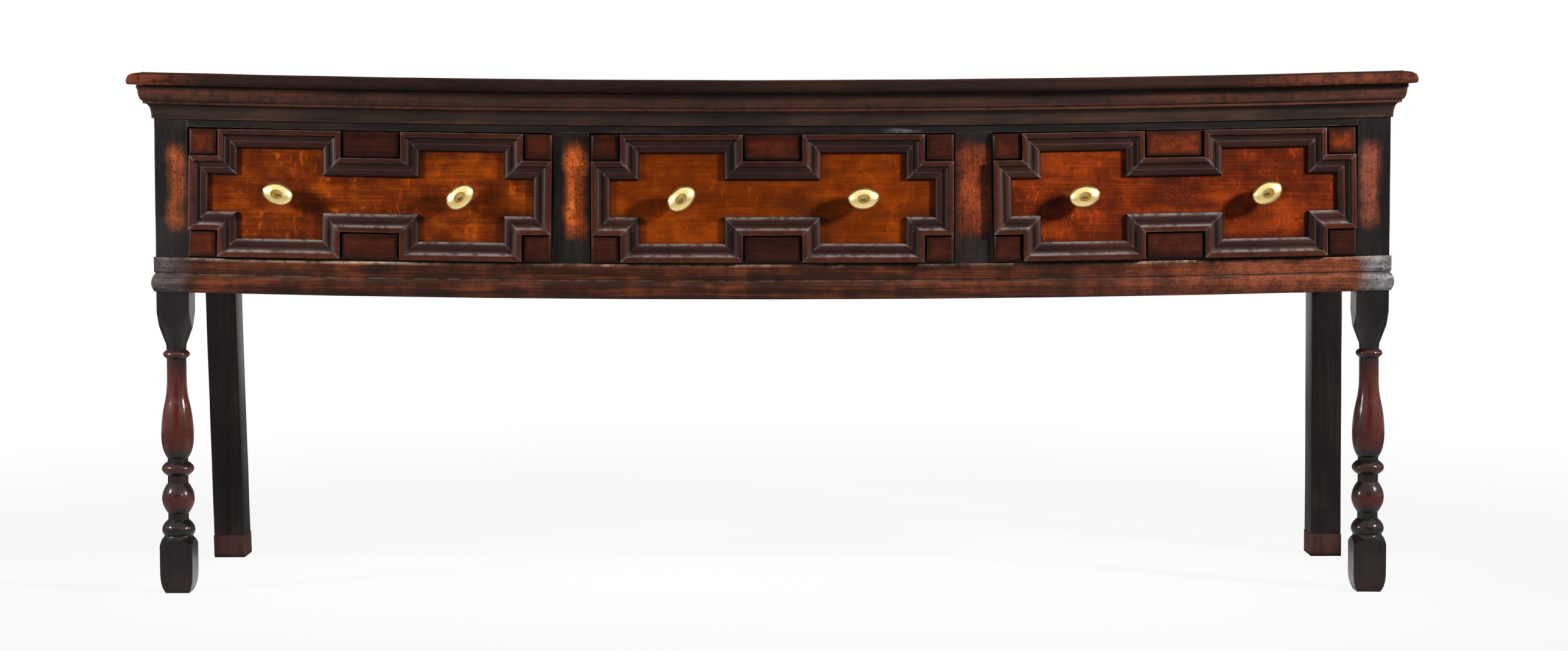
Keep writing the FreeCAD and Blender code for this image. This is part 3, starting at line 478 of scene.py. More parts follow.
oak_muntin = {}
for place, x, half_width, wear in (("left", -MUNTIN_X + 6 * MM, 22 * MM, ORANGE_WEAR),
                                   ("right", MUNTIN_X, 38 * MM, RED_WEAR)):
    patch = worn_patch(x, MUNTIN_MIDDLE, half_width, 80 * MM, 0.016, 1.0, wear)
    oak_muntin[place] = oak(f"oak_muntin_{place}", "Z", *BLACK_OAK, seed=30 + 13 * x, cloud_scale=26.0,
                            patches=[patch], grime_and_shade_reach=0.02)
oak_leg = {}
for place, x, wear in (("left", -0.901, BROWN_WEAR), ("right", 0.903, DULL_WEAR)):
    leg_shade = worn_patch(math.copysign(LEG_SHADE_X, x), LEG_SHADE_MIDDLE, 45 * MM, 0.2, 0.01, 0.85, LEG_SHADE)
    patch = worn_patch(x, STILE_MIDDLE, 20 * MM, 74 * MM, 0.016, 0.85, wear)
    oak_leg[place] = oak(f"oak_leg_{place}", "Z", *LEG_OAK, seed=40 + 30 * x, cloud_scale=20.0,
                         patches=[leg_shade, patch], rubbed=srgb(84, 31, 23), evenness=0.7,
                         edge=srgb(100, 84, 76), edge_share=0.35, gloss=0.17, shine=0.3)
print("stiles:", sorted(oak_muntin), "legs:", sorted(oak_leg))

# %% [markdown]
# ## Brass and iron
#
# The knobs are polished brass, so they show the studio: bright to the left, right and above, with a dark
# middle where they face the camera. A little noise in the roughness stands for finger marks. The nails and
# nuts are dull iron. One function makes both, because only colour and polish differ.

# %% Metal finishes
FINGER_MARK_SCALE = 90.0
METAL_GRIME_AND_SHADE_REACH = 10 * MM


def metal(name, colour, rough_low, rough_high, grime_and_shade_share):
    finish, tree, skin = blank_finish(name)
    where = add(tree, "ShaderNodeTexCoord").outputs["Object"]
    marks = add(tree, "ShaderNodeTexNoise", {"Vector": where, "Scale": FINGER_MARK_SCALE, "Detail": 4.0})
    rough = spread(tree, marks.outputs["Fac"], 0.3, 0.7, rough_low, rough_high)
    tree.links.new(rough, skin.inputs["Roughness"])
    # Corners go towards the grime colour: partly dirt, partly painted shade.
    grime_and_shade_occlusion = add(tree, "ShaderNodeAmbientOcclusion", {"Distance": METAL_GRIME_AND_SHADE_REACH}, samples=6)
    corner = spread(tree, grime_and_shade_occlusion.outputs["AO"], 0.8, 0.3, 0.0, grime_and_shade_share)
    tree.links.new(mix(tree, corner, colour, GRIME_AND_SHADE), skin.inputs["Base Color"])
    skin.inputs["Metallic"].default_value = 1.0
    return finish


brass = metal("brass", srgb(253, 226, 154), 0.22, 0.34, 0.25)
iron = metal("iron", srgb(72, 66, 62), 0.5, 0.75, 0.3)
print("metals:", brass.name, iron.name)

# %% [markdown]
# ## Working on wood
#
# These helpers stand for the joiner's bench. `outline` draws the section of a moulding as a closed line: the
# corners that stick out are rounded with a bevel, and long edges are divided so that the surface can be
# uneven. `weather` takes a little off the surface, never adding any, so that no piece grows past the
# measured one. `finished` makes the piece, lets it ride on its body and hides the measured pieces that it
# stands for.

# %% Helpers for sections


def curve(start, through, end, steps=6):
    """Points of a round from start to end that passes through the point in between; start is left out."""
    points = []
    for i in range(1, steps + 1):
        t = i / steps
        weights = ((1 - t) * (1 - 2 * t), 4 * t * (1 - t), t * (2 * t - 1))
        points.append(tuple(sum(w * p[k] for w, p in zip(weights, (start, through, end))) for k in (0, 1)))
    return points


def outline(work, section, arrises, place, arris=0.9 * MM, spacing=3.0 * MM):
    """A closed line through a section's points, in millimetres; the points named as arrises are rounded."""
    work.verts.layers.float.new("rubbed")
    corners = [work.verts.new(place(across * MM, up * MM)) for across, up in section]
    for pair in zip(corners, corners[1:] + corners[:1]):
        work.edges.new(pair)
    bmesh.ops.bevel(work, geom=[c for c, point in zip(corners, section) if point in arrises], offset=arris,
                    offset_type="OFFSET", segments=2, profile=0.5, affect="VERTICES", material=-1)
    for edge in [e for e in work.edges if e.calc_length() > spacing]:
        bmesh.ops.subdivide_edges(work, edges=[edge], cuts=min(4, int(edge.calc_length() / spacing)))


print("a round has", len(curve((0, 0), (1, 2), (2, 0))), "points after its start")

# %% Helpers for pieces
MERGE = 1e-6


def everything(work):
    return work.verts[:] + work.edges[:] + work.faces[:]


def close_ends(work):
    bmesh.ops.holes_fill(work, edges=[e for e in work.edges if e.is_boundary], sides=0)


def pull(work, edges, vector):
    """Extrudes edges along a vector and gives the edges at the far end."""
    pulled = bmesh.ops.extrude_edge_only(work, edges=edges)["geom"]
    bmesh.ops.translate(work, vec=vector, verts=[g for g in pulled if isinstance(g, bmesh.types.BMVert)])
    return [g for g in pulled if isinstance(g, bmesh.types.BMEdge)]


def cut(work, point, normal):
    """Saws off what lies on the side that the normal points to, and closes the cut."""
    bmesh.ops.bisect_plane(work, geom=everything(work), plane_co=point, plane_no=normal, clear_outer=True)
    close_ends(work)


def weather(work, depth, lengths, seed):
    """Takes up to depth off the surface, in hollows of the given length, width and height."""
    bmesh.ops.remove_doubles(work, verts=work.verts, dist=MERGE)
    bmesh.ops.recalc_face_normals(work, faces=work.faces)
    work.normal_update()
    offset = Vector((seed, 2.3 * seed, 0.7 * seed))
    for vert in work.verts:
        place = Vector((vert.co.x / lengths[0], vert.co.y / lengths[1], vert.co.z / lengths[2])) + offset
        vert.co -= vert.normal * depth * (0.5 + 0.5 * noise.noise(place))


def finished(work, name, finish, body, slot, *nodes, smooth=38):
    """Makes the object; finish is one material, or a list that the faces' material numbers choose from.

    An edge that bends by more than smooth, in degrees, stays sharp.
    """
    bmesh.ops.remove_doubles(work, verts=work.verts, dist=MERGE)
    bmesh.ops.recalc_face_normals(work, faces=work.faces)
    mesh = bpy.data.meshes.new(name)
    work.to_mesh(mesh)
    work.free()
    for material in finish if isinstance(finish, list) else [finish]:
        mesh.materials.append(material)
    mesh.shade_smooth()
    mesh.set_sharp_from_angle(angle=math.radians(smooth))
    piece = bpy.data.objects.new(name, mesh)
    bpy.context.scene.collection.objects.link(piece)
    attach(piece, body)
    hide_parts(*nodes)
    return piece


print("points closer than", MERGE, "m are merged")

# %% [markdown]
# ## Cornice and base moulding
#
# Both were run with a moulding plane: one section for the whole length. A curve with a bevel profile could
# carry a section too, but a section spun about the far axis of the sag gives the long bent moulding in one
# step, on exactly the same circle as the frame. A saw cut at 45 degrees makes the mitre at each end, and
# the short returns along the ends of the case are the same section pulled straight back.

# %% Sections of the two mouldings
FRONT = -225.0 * MM
BACK = 250.0 * MM
HALF_CASE = 934.5 * MM
CASE_TOP = 772.0
LEG_HEIGHT = 460.0
CORNICE = ([(0, -50), (3, -50), (3, -47)] + curve((3, -47), (5.34, -33.56), (11, -28))
           + [(14, -28), (14, -24)] + curve((14, -24), (18.6, -18.73), (20.5, -6))
           + [(22, -6), (22, 0), (0, 0)])
CORNICE_ARRISES = [(3, -50), (14, -28), (22, -6)]
BASE = ([(0, 0), (2, 0)] + curve((2, 0), (6.5, 13.5), (2, 27), steps=8)
        + [(1, 27), (1, 29.5), (2.6, 29.5), (2.6, 53.2), (0, 53.2)])
BASE_ARRISES = [(2.6, 29.5), (2.6, 53.2)]
print("points of the cornice and the base:", len(CORNICE), len(BASE))

# %% Where the mouldings are rubbed
FILLET_LOW, FILLET_HIGH, ROUND_HIGH = -29.0, -19.0, -5.0
FILLET_RED = 0.4
ROUND_RED = {"left": 0.6, "right": 0.4}
ROUND_LEAST, ROUND_FROM, ROUND_RUN = 0.18, 0.3, 0.9
BASE_TOP_LINE = 50.0
PALE, HALF_PALE, FAINT = 1.0, 0.5, 0.25
PALE_RUNS = ((-0.88, -0.5), (0.55, 0.66))
HALF_PALE_RUN = (-0.25, 0.0)
BASE_CHIPS = (-0.243, 0.098)
CHIP_HALF = 6.5 * MM


def within(x, run):
    return run[0] < x < run[1]


def cornice_wear(x, up):
    """Red on the middle fillet, and on the round above it towards the ends, more on the left."""
    if FILLET_LOW < up < FILLET_HIGH:
        return FILLET_RED
    if FILLET_HIGH <= up < ROUND_HIGH:
        strongest = ROUND_RED["left" if x < 0 else "right"]
        return min(strongest, max(ROUND_LEAST, (abs(x) - ROUND_FROM) / ROUND_RUN))
    return 0.0


def base_wear(x, up):
    """A pale line along the top, just below the drawers, strong in two runs and at two small chips."""
    if up <= BASE_TOP_LINE:
        return 0.0
    if any(within(x, run) for run in PALE_RUNS) or any(abs(x - chip) < CHIP_HALF for chip in BASE_CHIPS):
        return PALE
    return HALF_PALE if within(x, HALF_PALE_RUN) else FAINT


def brighten(work, bottom, wear):
    rubbed = work.verts.layers.float["rubbed"]
    for vert in work.verts:
        vert[rubbed] = wear(vert.co.x, at_posts(vert.co.x, vert.co.z) / MM - bottom)


print("cornice rubbed on the fillet", cornice_wear(0.0, -24.0), "and the round", cornice_wear(-0.9, -10.0))

# %% Run the mouldings
MITRE_MARGIN = 40 * MM
LENGTH_STEPS = 150
RETURN_STEPS = 40
MOULDING_LOSS = 0.7 * MM


def spun_along(work, reach):
    """Spins what is drawn in the middle of the case out to both ends of the arc."""
    angle = turn_at(reach)
    bmesh.ops.rotate(work, verts=work.verts, cent=AXIS, matrix=Matrix.Rotation(angle, 3, "Y"))
    bmesh.ops.spin(work, geom=work.verts[:] + work.edges[:], cent=AXIS, axis=(0, 1, 0), angle=-2 * angle,
                   steps=LENGTH_STEPS)


def front_moulding(name, section, arrises, bottom, wear, finish, seed):
    work = bmesh.new()
    outline(work, section, arrises, lambda out, up: (0, FRONT - out, settled(bottom * MM + up)))
    spun_along(work, HALF_CASE + MITRE_MARGIN)
    brighten(work, bottom, wear)
    for side in (-1, 1):
        cut(work, (side * HALF_CASE, FRONT, 0), (side, 1, 0))
    weather(work, MOULDING_LOSS, (0.06, 0.02, 0.012), seed)
    return finished(work, name + "_worn", finish, "case", "oak_case", name)


def end_moulding(name, side, section, arrises, bottom, wear, finish, seed):
    work = bmesh.new()
    outline(work, section, arrises, lambda out, up: (side * (HALF_CASE + out), FRONT - MITRE_MARGIN,
                                                     level(bottom * MM + up, HALF_CASE + out)))
    step = (0, (BACK - FRONT + MITRE_MARGIN) / RETURN_STEPS, 0)
    edges = work.edges[:]
    for _ in range(RETURN_STEPS):
        edges = pull(work, edges, step)
    close_ends(work)
    cut(work, (side * HALF_CASE, FRONT, 0), (-side, -1, 0))
    brighten(work, bottom, wear)
    weather(work, MOULDING_LOSS, (0.02, 0.06, 0.012), seed)
    return finished(work, name + "_worn", finish, "case", "oak_case", name)


for run_name, section, arrises, bottom, wear, front_finish, end_finish in (
        ("cornice", CORNICE, CORNICE_ARRISES, CASE_TOP, cornice_wear, oak_cornice, oak_cornice_end),
        ("base_moulding", BASE, BASE_ARRISES, LEG_HEIGHT, base_wear, oak_base, oak_base_end)):
    made = [front_moulding(f"{run_name}_front", section, arrises, bottom, wear, front_finish, 3.0)]
    made.append(end_moulding(f"{run_name}_left", -1, section, arrises, bottom, wear, end_finish, 5.0))
    made.append(end_moulding(f"{run_name}_right", 1, section, arrises, bottom, wear, end_finish, 7.0))
    print(run_name, [len(piece.data.polygons) for piece in made], "faces")

# %% [markdown]
# ## The top
#
# Two long boards, with a thumbnail moulding worked along the front and both ends. A bevel on a cube can't
# draw that moulding, so each board is a stack of rims, one for each point of the moulding and each with its
# own inset. Every rim is bridged to the next, and a face closes the board below and above. Then the board
# is divided along its length and laid on the arc. Its edge is rubbed red towards both ends.

# %% Shape of the top boards
TOP_END = 969.5 * MM
TOP_FRONT = -260.0 * MM
TOP_JOINT = 25.0 * MM
TOP_BACK = 260.0 * MM
THUMBNAIL = ([(2.2, 0)] + curve((2.2, 0), (0, 4.5), (0.7, 9)) + curve((0.7, 9), (5.565, 16.21), (19, 19.2))
             + [(19.2, 19.8), (20, 20)])
CROSS_STEPS = 9


def rim_edges(work, ring):
    pairs = [(ring[i - 1], ring[i]) for i in range(len(ring))]
    return [work.edges.get(pair) or work.edges.new(pair) for pair in pairs]


def moulded_board(y0, y1, moulded_front):
    """A straight board, with the moulding at both ends and, where asked, along the front."""
    def corner_at(x_side, y_side, inset):
        y = y1 if y_side > 0 else y0 + (inset * MM if moulded_front else 0.0)
        return x_side * (TOP_END - inset * MM), y

    work = bmesh.new()
    sides = ((-1, 0), (1, 0), (1, 1), (-1, 1))
    rims = [[work.verts.new((*corner_at(*side, inset), up * MM)) for side in sides]
            for inset, up in THUMBNAIL]
    work.faces.new(rims[0][::-1])
    for lower, upper in zip(rims, rims[1:]):
        bmesh.ops.bridge_loops(work, edges=rim_edges(work, lower) + rim_edges(work, upper))
    work.faces.new(rims[-1])
    lengthwise = [e for e in work.edges if abs(e.verts[0].co.x - e.verts[1].co.x) > TOP_END]
    bmesh.ops.subdivide_edges(work, edges=lengthwise, cuts=LENGTH_STEPS, use_grid_fill=True)
    crosswise = [e for e in work.edges if abs(e.verts[0].co.y - e.verts[1].co.y) > 0.5 * (y1 - y0)]
    bmesh.ops.subdivide_edges(work, edges=crosswise, cuts=CROSS_STEPS, use_grid_fill=True)
    return work


print("rims of a top board:", len(THUMBNAIL))

# %% Make the top boards
RED_BELOW = 17 * MM
END_EDGE = 20 * MM
RED_RUNS = {"left": (0.85, 0.1), "right": (0.66, 0.28)}
FAINTEST_RED, STRONGEST_RED, FLAT_RED = 0.06, 0.8, 0.2


def redden_edge(work, moulded_front):
    rubbed = work.verts.layers.float.new("rubbed")
    for vert in work.verts:
        low_edge = vert.co.z < RED_BELOW and (moulded_front or abs(vert.co.x) > TOP_END - END_EDGE)
        start, run = RED_RUNS["right" if vert.co.x > 0 else "left"]
        ramp = (abs(vert.co.x) - start) / run
        vert[rubbed] = max(FAINTEST_RED, min(STRONGEST_RED, ramp)) if low_edge else FLAT_RED


def bend(work, base):
    """Lays a straight piece on the arc; heights are those at the posts."""
    for vert in work.verts:
        radius = AXIS_HEIGHT - settled(base + vert.co.z)
        angle = turn_at(vert.co.x, base)
        vert.co.x = radius * math.sin(angle)
        vert.co.z = AXIS_HEIGHT - radius * math.cos(angle)


def top_board(name, y0, y1, moulded_front, seed):
    work = moulded_board(y0, y1, moulded_front)
    redden_edge(work, moulded_front)
    bend(work, CASE_TOP * MM)
    weather(work, 0.9 * MM, (0.11, 0.04, 0.03), seed)
    return finished(work, name + "_worn", oak_top, "case", "oak_top", name)


boards = [top_board("top_board_front", TOP_FRONT, TOP_JOINT, True, 1.0),
          top_board("top_board_rear", TOP_JOINT, TOP_BACK, False, 2.0)]
print("top boards:", [len(board.data.polygons) for board in boards], "faces")

# %% [markdown]
# ## Turned legs
#
# A front leg is one square length of oak, left square where the rails meet it and at the foot, and turned
# on a lathe between. The mesh goes the same way round: the turned outline is spun once about the leg's
# axis, wider than the post where the wood stays square, and four saw cuts then leave the square blocks with
# the rounded shoulders that a lathe makes. Joining separate blocks and turnings would miss those shoulders.
# The bulges are marked as `rubbed`, because polish has brightened them to red.

# %% Outline of a turned leg
POST_HALF = 25.0
LEG_TOP = 772.5
NECK, SLENDER, UNCUT = 15.8, 15.2, 50
LEG_OUTLINE = [(0, 0), (UNCUT, 0), (UNCUT, 63.4)]
for start, through, end in (
        ((UNCUT, 63.4), (27.5, 80.6), (22.5, 88)), ((22.5, 88), (24.8, 100), (NECK, 112)),
        ((NECK, 121), (24.9, 144.5), (NECK, 168)), ((NECK, 179), (24.7, 190), (NECK, 201)),
        ((NECK, 206), (22.88, 222.17), (24.8, 245.69)), ((24.8, 245.69), (23.07, 269.21), (19.04, 291.26)),
        ((19.04, 291.26), (16.45, 305.96), (SLENDER, 325.07)),
        ((SLENDER, 358.5), (20.6, 365), (SLENDER, 371.5)), ((NECK, 380), (22.6, 398), (28.75, 416))):
    if LEG_OUTLINE[-1] != start:
        LEG_OUTLINE.append(start)
    LEG_OUTLINE += curve(start, through, end, steps=16)
LEG_OUTLINE += [(UNCUT, 460), (UNCUT, LEG_TOP), (0, LEG_TOP)]
print("leg outline:", len(LEG_OUTLINE), "points")

# %% Where a leg is polished
RUBBED_HEIGHTS = ((0, 0.4), (30, 0.05), (96, 0.0), (101, 0.3), (106, 0.0), (124, 0.0), (132, 0.9), (146, 1.0),
                  (154, 0.15), (182, 0.1), (186, 0.8), (191, 0.8), (197, 0.1), (210, 0.0), (224, 0.8),
                  (250, 1.0), (338, 1.0), (345, 0.1), (358, 0.0), (363, 0.7), (367, 0.7), (372, 0.0))


def rubbed_at(height):
    """How much polish has brightened the leg at a height, read between the listed heights."""
    for (low, first), (high, second) in zip(RUBBED_HEIGHTS, RUBBED_HEIGHTS[1:]):
        if low <= height < high:
            return first + (second - first) * (height - low) / (high - low)
    return 0.0


print("polish on the baluster:", rubbed_at(300.0))

# %% Turn and square the front legs
TURN_STEPS = 64
POST_ARRIS = 1.4 * MM
SHARP_ARRIS = math.radians(80)
SHORTEST_ARRIS = 20 * MM
FOOT_CUTS = [8 * i for i in range(1, 11)]
POST_CUTS = [425 + 14 * i for i in range(25)]
FOOT_WORN_HEIGHT = 40.0 * MM
FOOT_WORN = 7.0 * MM
FOOT_CURVE = 3.6
LEG_AXIS_X = HALF_CASE - POST_HALF * MM
LEG_AXIS_Y = FRONT + POST_HALF * MM


def turned(points, place, axis, steps):
    """Spins a line once about the axis; its points are a radius and a distance along, in millimetres."""
    work = bmesh.new()
    line = [work.verts.new(place(radius * MM, along * MM)) for radius, along in points]
    edges = [work.edges.new(pair) for pair in zip(line, line[1:])]
    bmesh.ops.spin(work, geom=line + edges, cent=(0, 0, 0), axis=axis, angle=math.tau, steps=steps,
                   use_merge=True)
    return work


def wear_foot(work):
    for vert in work.verts:
        if vert.co.z < FOOT_WORN_HEIGHT:
            share = (1 - vert.co.z / FOOT_WORN_HEIGHT) ** FOOT_CURVE
            vert.co.xy *= 1 - share * FOOT_WORN / (POST_HALF * MM)


def front_leg(name, side, finish, seed):
    work = turned(LEG_OUTLINE, lambda radius, up: (radius, 0, up), (0, 0, 1), TURN_STEPS)
    bmesh.ops.remove_doubles(work, verts=work.verts, dist=MERGE)
    bmesh.ops.recalc_face_normals(work, faces=work.faces)
    for normal in ((1, 0, 0), (-1, 0, 0), (0, 1, 0), (0, -1, 0)):
        cut(work, Vector(normal) * POST_HALF * MM, normal)
    arrises = [e for e in work.edges if e.is_manifold and e.calc_face_angle() > SHARP_ARRIS
               and abs(e.verts[0].co.z - e.verts[1].co.z) > SHORTEST_ARRIS]
    bmesh.ops.bevel(work, geom=arrises, offset=POST_ARRIS, offset_type="OFFSET", segments=2, profile=0.5,
                    affect="EDGES", material=-1)
    for up in FOOT_CUTS + POST_CUTS:
        bmesh.ops.bisect_plane(work, geom=everything(work), plane_co=(0, 0, up * MM), plane_no=(0, 0, 1))
    wear_foot(work)
    rubbed = work.verts.layers.float.new("rubbed")
    for vert in work.verts:
        vert[rubbed] = rubbed_at(vert.co.z / MM)
    weather(work, 0.6 * MM, (0.03, 0.03, 0.05), seed)
    bmesh.ops.translate(work, vec=(side * LEG_AXIS_X, LEG_AXIS_Y, 0), verts=work.verts)
    return finished(work, name + "_worn", finish, "case", "oak_case", name, smooth=21)


front_legs = [front_leg("front_leg_left", -1, oak_leg["left"], 4.0),
              front_leg("front_leg_right", 1, oak_leg["right"], 9.0)]
print("front legs:", [len(leg.data.polygons) for leg in front_legs], "faces")

# %% [markdown]
# ## Rear legs
#
# The rear legs are plain squared lengths. Below the case each leans a little to the right, and each has a
# new tip spliced on where the old foot rotted. A cube is scaled to the post, cut across every few
# centimetres so that it can be uneven, and the part below the case is sheared sideways.

# %% Rear legs and their spliced tips
REAR_WIDTH, REAR_DEPTH = 50.0 * MM, 66.0 * MM
REAR_LEANS = {-1: 11.0 * MM, 1: 2.0 * MM}
REAR_CUT_SPACING = 24.0 * MM
REAR_ARRIS = 2.0 * MM
TIP_HEIGHT, TIP_MARGIN = 38.0 * MM, 1.0 * MM


def rear_length(name, side, low, high, margin, finish, slot, seed):
    work = bmesh.new()
    bmesh.ops.create_cube(work, size=1.0)
    size = (REAR_WIDTH + 2 * margin, REAR_DEPTH + 2 * margin, high - low)
    bmesh.ops.scale(work, vec=size, verts=work.verts)
    upright = [e for e in work.edges if abs(e.verts[0].co.z - e.verts[1].co.z) > 0.1 * MM]
    bmesh.ops.bevel(work, geom=upright if margin == 0 else work.edges[:], offset=REAR_ARRIS,
                    offset_type="OFFSET", segments=3, profile=0.5, affect="EDGES", material=-1)
    centre = (side * (HALF_CASE - REAR_WIDTH / 2), BACK - REAR_DEPTH / 2, (low + high) / 2)
    bmesh.ops.translate(work, vec=centre, verts=work.verts)
    for i in range(1, int((high - low) / REAR_CUT_SPACING)):
        bmesh.ops.bisect_plane(work, geom=everything(work), plane_co=(0, 0, low + i * REAR_CUT_SPACING),
                               plane_no=(0, 0, 1))
    leg_height = LEG_HEIGHT * MM
    for vert in work.verts:
        vert.co.x += REAR_LEANS[side] * max(0.0, leg_height - vert.co.z) / leg_height
    weather(work, 0.8 * MM, (0.03, 0.03, 0.07), seed)
    return finished(work, name + "_worn", finish, "case", slot, name)


for place, side in (("left", -1), ("right", 1)):
    leg = rear_length(f"rear_leg_{place}", side, TIP_HEIGHT, LEG_TOP * MM, 0.0, oak_rear_leg, "oak_case",
                      6.0 + side)
    tip = rear_length(f"rear_foot_tip_{place}", side, 0.0, TIP_HEIGHT, TIP_MARGIN, oak_tip, "oak_foot_tip",
                      8.0 + side)
    print(leg.name, len(leg.data.polygons), "faces,", tip.name, len(tip.data.polygons), "faces")

# %% [markdown]
# ## Drawer mouldings
#
# Short lengths of one moulding are mitred round the sunk field of each drawer and pinned on. The outline of
# the field is a long cross with stepped corners, so there are twenty lengths on a drawer. One ring pulled
# round the field would have no joints, so each length is made by itself: the section drawn at one end,
# pulled along its side of the field and sawn at both mitres. The saw leaves a hair of space, so the joints
# show as fine lines.

# %% The field's outline and the strip's section
front_low, front_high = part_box("middle_drawer_front")
DRAWER_HALF = front_high.x
DRAWER_HALF_HEIGHT = (front_high.z - front_low.z) / 2
DRAWER_MIDDLE = (front_high.z + front_low.z) / 2
DRAWER_FACE = front_low.y
STRIP_WIDTH = 28.0 * MM
BAND_HALF = 28.0 * MM
CORNER_PLAQUE = 44.0 * MM
CENTRE_PLAQUE = 90.0 * MM
STRIP = ([(0, 0), (0, 1.5)] + curve((0, 1.5), (2.64, 5.53), (9, 7.2)) + [(11, 7.2), (11, 6.2)]
         + curve((11, 6.2), (17.36, 7.66), (20, 11.2)) + [(20, 12.2), (28, 12.2), (28, 0)])
STRIP_ARRISES = [(11, 7.2), (20, 12.2), (28, 12.2)]


def field_corners():
    ear, low, high = DRAWER_HALF - STRIP_WIDTH, BAND_HALF, DRAWER_HALF_HEIGHT - STRIP_WIDTH
    outer, inner = DRAWER_HALF - CORNER_PLAQUE - STRIP_WIDTH, CENTRE_PLAQUE / 2 + STRIP_WIDTH
    right = [(inner, low), (inner, high), (outer, high), (outer, low), (ear, low)]
    upper = [(-x, z) for x, z in reversed(right)] + right
    return [Vector((x, 0, z)) for x, z in upper + [(-x, -z) for x, z in upper]]


print("field corners:", len(field_corners()))

# %% Mitre one strip
MITRE_GAP = 0.06 * MM
STRIP_ARRIS = 0.7 * MM
STRIP_LOSS = 0.25 * MM
FLAT_FROM = 11.9 * MM
FLAT_RUBBED, SHADE_ABOVE_LIGHT_BELOW = 0.7, 0.3


def strip(before, start, end, after, seed):
    """One length from start to end, mitred towards the corners before and after it."""
    middle = Vector((0, DRAWER_FACE, DRAWER_MIDDLE))
    along = (end - start).normalized()
    outward = Vector((-along.z, 0, along.x))
    origin = middle + start - along * STRIP_WIDTH
    work = bmesh.new()
    outline(work, STRIP, STRIP_ARRISES, lambda off, up: origin + outward * off + Vector((0, -up, 0)),
            arris=STRIP_ARRIS)
    pull(work, work.edges[:], along * ((end - start).length + 2 * STRIP_WIDTH))
    close_ends(work)
    for point, normal in ((start, -((start - before).normalized() + along)),
                          (end, along + (after - end).normalized())):
        normal.normalize()
        cut(work, middle + point - normal * MITRE_GAP, normal)
    rubbed = work.verts.layers.float["rubbed"]
    for vert in work.verts:
        # The upper lengths get less of the rubbed colour and the lower ones more: painted shade on the upper
        # lengths and painted light on the lower ones, over the rubbed flats.
        on_flat = DRAWER_FACE - vert.co.y > FLAT_FROM
        vert[rubbed] = FLAT_RUBBED - SHADE_ABOVE_LIGHT_BELOW * outward.z if on_flat else 0.0
    weather(work, STRIP_LOSS, (0.02, 0.02, 0.02), seed)
    for face in work.faces:
        face.material_index = int(abs(along.z) > 0.5)
    return work


print("a strip stands", STRIP[-2][1], "mm out from the board")

# %% Make the strips of the three drawers
BAY_PITCH = 608.0 * MM
BAY_MIDDLE = 612.5 * MM
BAYS = {"left": -1, "middle": 0, "right": 1}


def hang(work, bay):
    """Carries drawer work from the middle of the case along the arc to its opening."""
    turn = Matrix.Rotation(-turn_at(bay * BAY_PITCH, BAY_MIDDLE), 3, "Y")
    bmesh.ops.rotate(work, verts=work.verts, cent=AXIS, matrix=turn)


def strips(bay, seed):
    gathered = bmesh.new()
    gathered.verts.layers.float.new("rubbed")
    corners = field_corners()
    for i in range(len(corners)):
        neighbours = [corners[(i + step) % len(corners)] for step in (-1, 0, 1, 2)]
        work = strip(*neighbours, seed + i)
        length = bpy.data.meshes.new("length")
        work.to_mesh(length)
        work.free()
        gathered.from_mesh(length)
        bpy.data.meshes.remove(length)
    hang(gathered, bay)
    return gathered


for place, bay in BAYS.items():
    name = f"{place}_drawer_mouldings"
    piece = finished(strips(bay, 10.0 * bay), name + "_worn", oak_strip, f"{place}_drawer", "oak_moulding",
                     name)
    print(piece.name, len(piece.data.polygons), "faces")

# %% [markdown]
# ## Plaques
#
# Small raised tablets fill the corners and the middle of each drawer, outside the mouldings. Each is a cube
# with a wide bevel round its front, and a second fine bevel for wear. Some have faded more than others, most
# in their middle, so each front is inset once more and the inner face gets its own share of `rubbed`, listed
# as the upper row and the lower row of a drawer.

# %% Plaques
PLAQUE_THICKNESS, PLAQUE_CHAMFER, PLAQUE_GAP = 9.0 * MM, 3.0 * MM, 0.3 * MM
PLAQUE_ARRIS, PLAQUE_RIM = 0.7 * MM, 8.0 * MM
PLAQUE_RIDGE = math.radians(25)
PLAQUE_TONES = {"left": ((0.35, 0.0, 0.22), (0.3, 0.15, 0.15)),
                "middle": ((0.2, 0.28, 0.1), (0.08, 0.0, 0.18)),
                "right": ((0.25, 0.7, 0.85), (0.2, 0.25, 0.05))}


def plaque(gathered, x0, x1, z0, z1, tone):
    rubbed = gathered.verts.layers.float["rubbed"]
    middle_y = DRAWER_FACE - PLAQUE_THICKNESS / 2
    made = bmesh.ops.create_cube(gathered, size=1.0)["verts"]
    bmesh.ops.scale(gathered, vec=(x1 - x0, PLAQUE_THICKNESS, z1 - z0), verts=made)
    bmesh.ops.translate(gathered, vec=((x0 + x1) / 2, middle_y, DRAWER_MIDDLE + (z0 + z1) / 2), verts=made)
    front = {e for v in made for e in v.link_edges if all(w.co.y < middle_y for w in e.verts)}
    chamfer = bmesh.ops.bevel(gathered, geom=list(front), offset=PLAQUE_CHAMFER, offset_type="OFFSET",
                              segments=1, profile=0.5, affect="EDGES", material=-1)
    ridge = {e for f in chamfer["faces"] for e in f.edges if e.calc_face_angle(0) > PLAQUE_RIDGE}
    bmesh.ops.bevel(gathered, geom=list(ridge), offset=PLAQUE_ARRIS, offset_type="OFFSET", segments=2,
                    profile=0.5, affect="EDGES", material=-1)
    tablet = [f for f in gathered.faces if f.normal.y < -0.99 and x0 < f.calc_center_median().x < x1
              and z0 < f.calc_center_median().z - DRAWER_MIDDLE < z1]
    bmesh.ops.inset_region(gathered, faces=tablet, thickness=PLAQUE_RIM, use_even_offset=True)
    for vert in {v for face in tablet for v in face.verts}:
        vert[rubbed] = tone


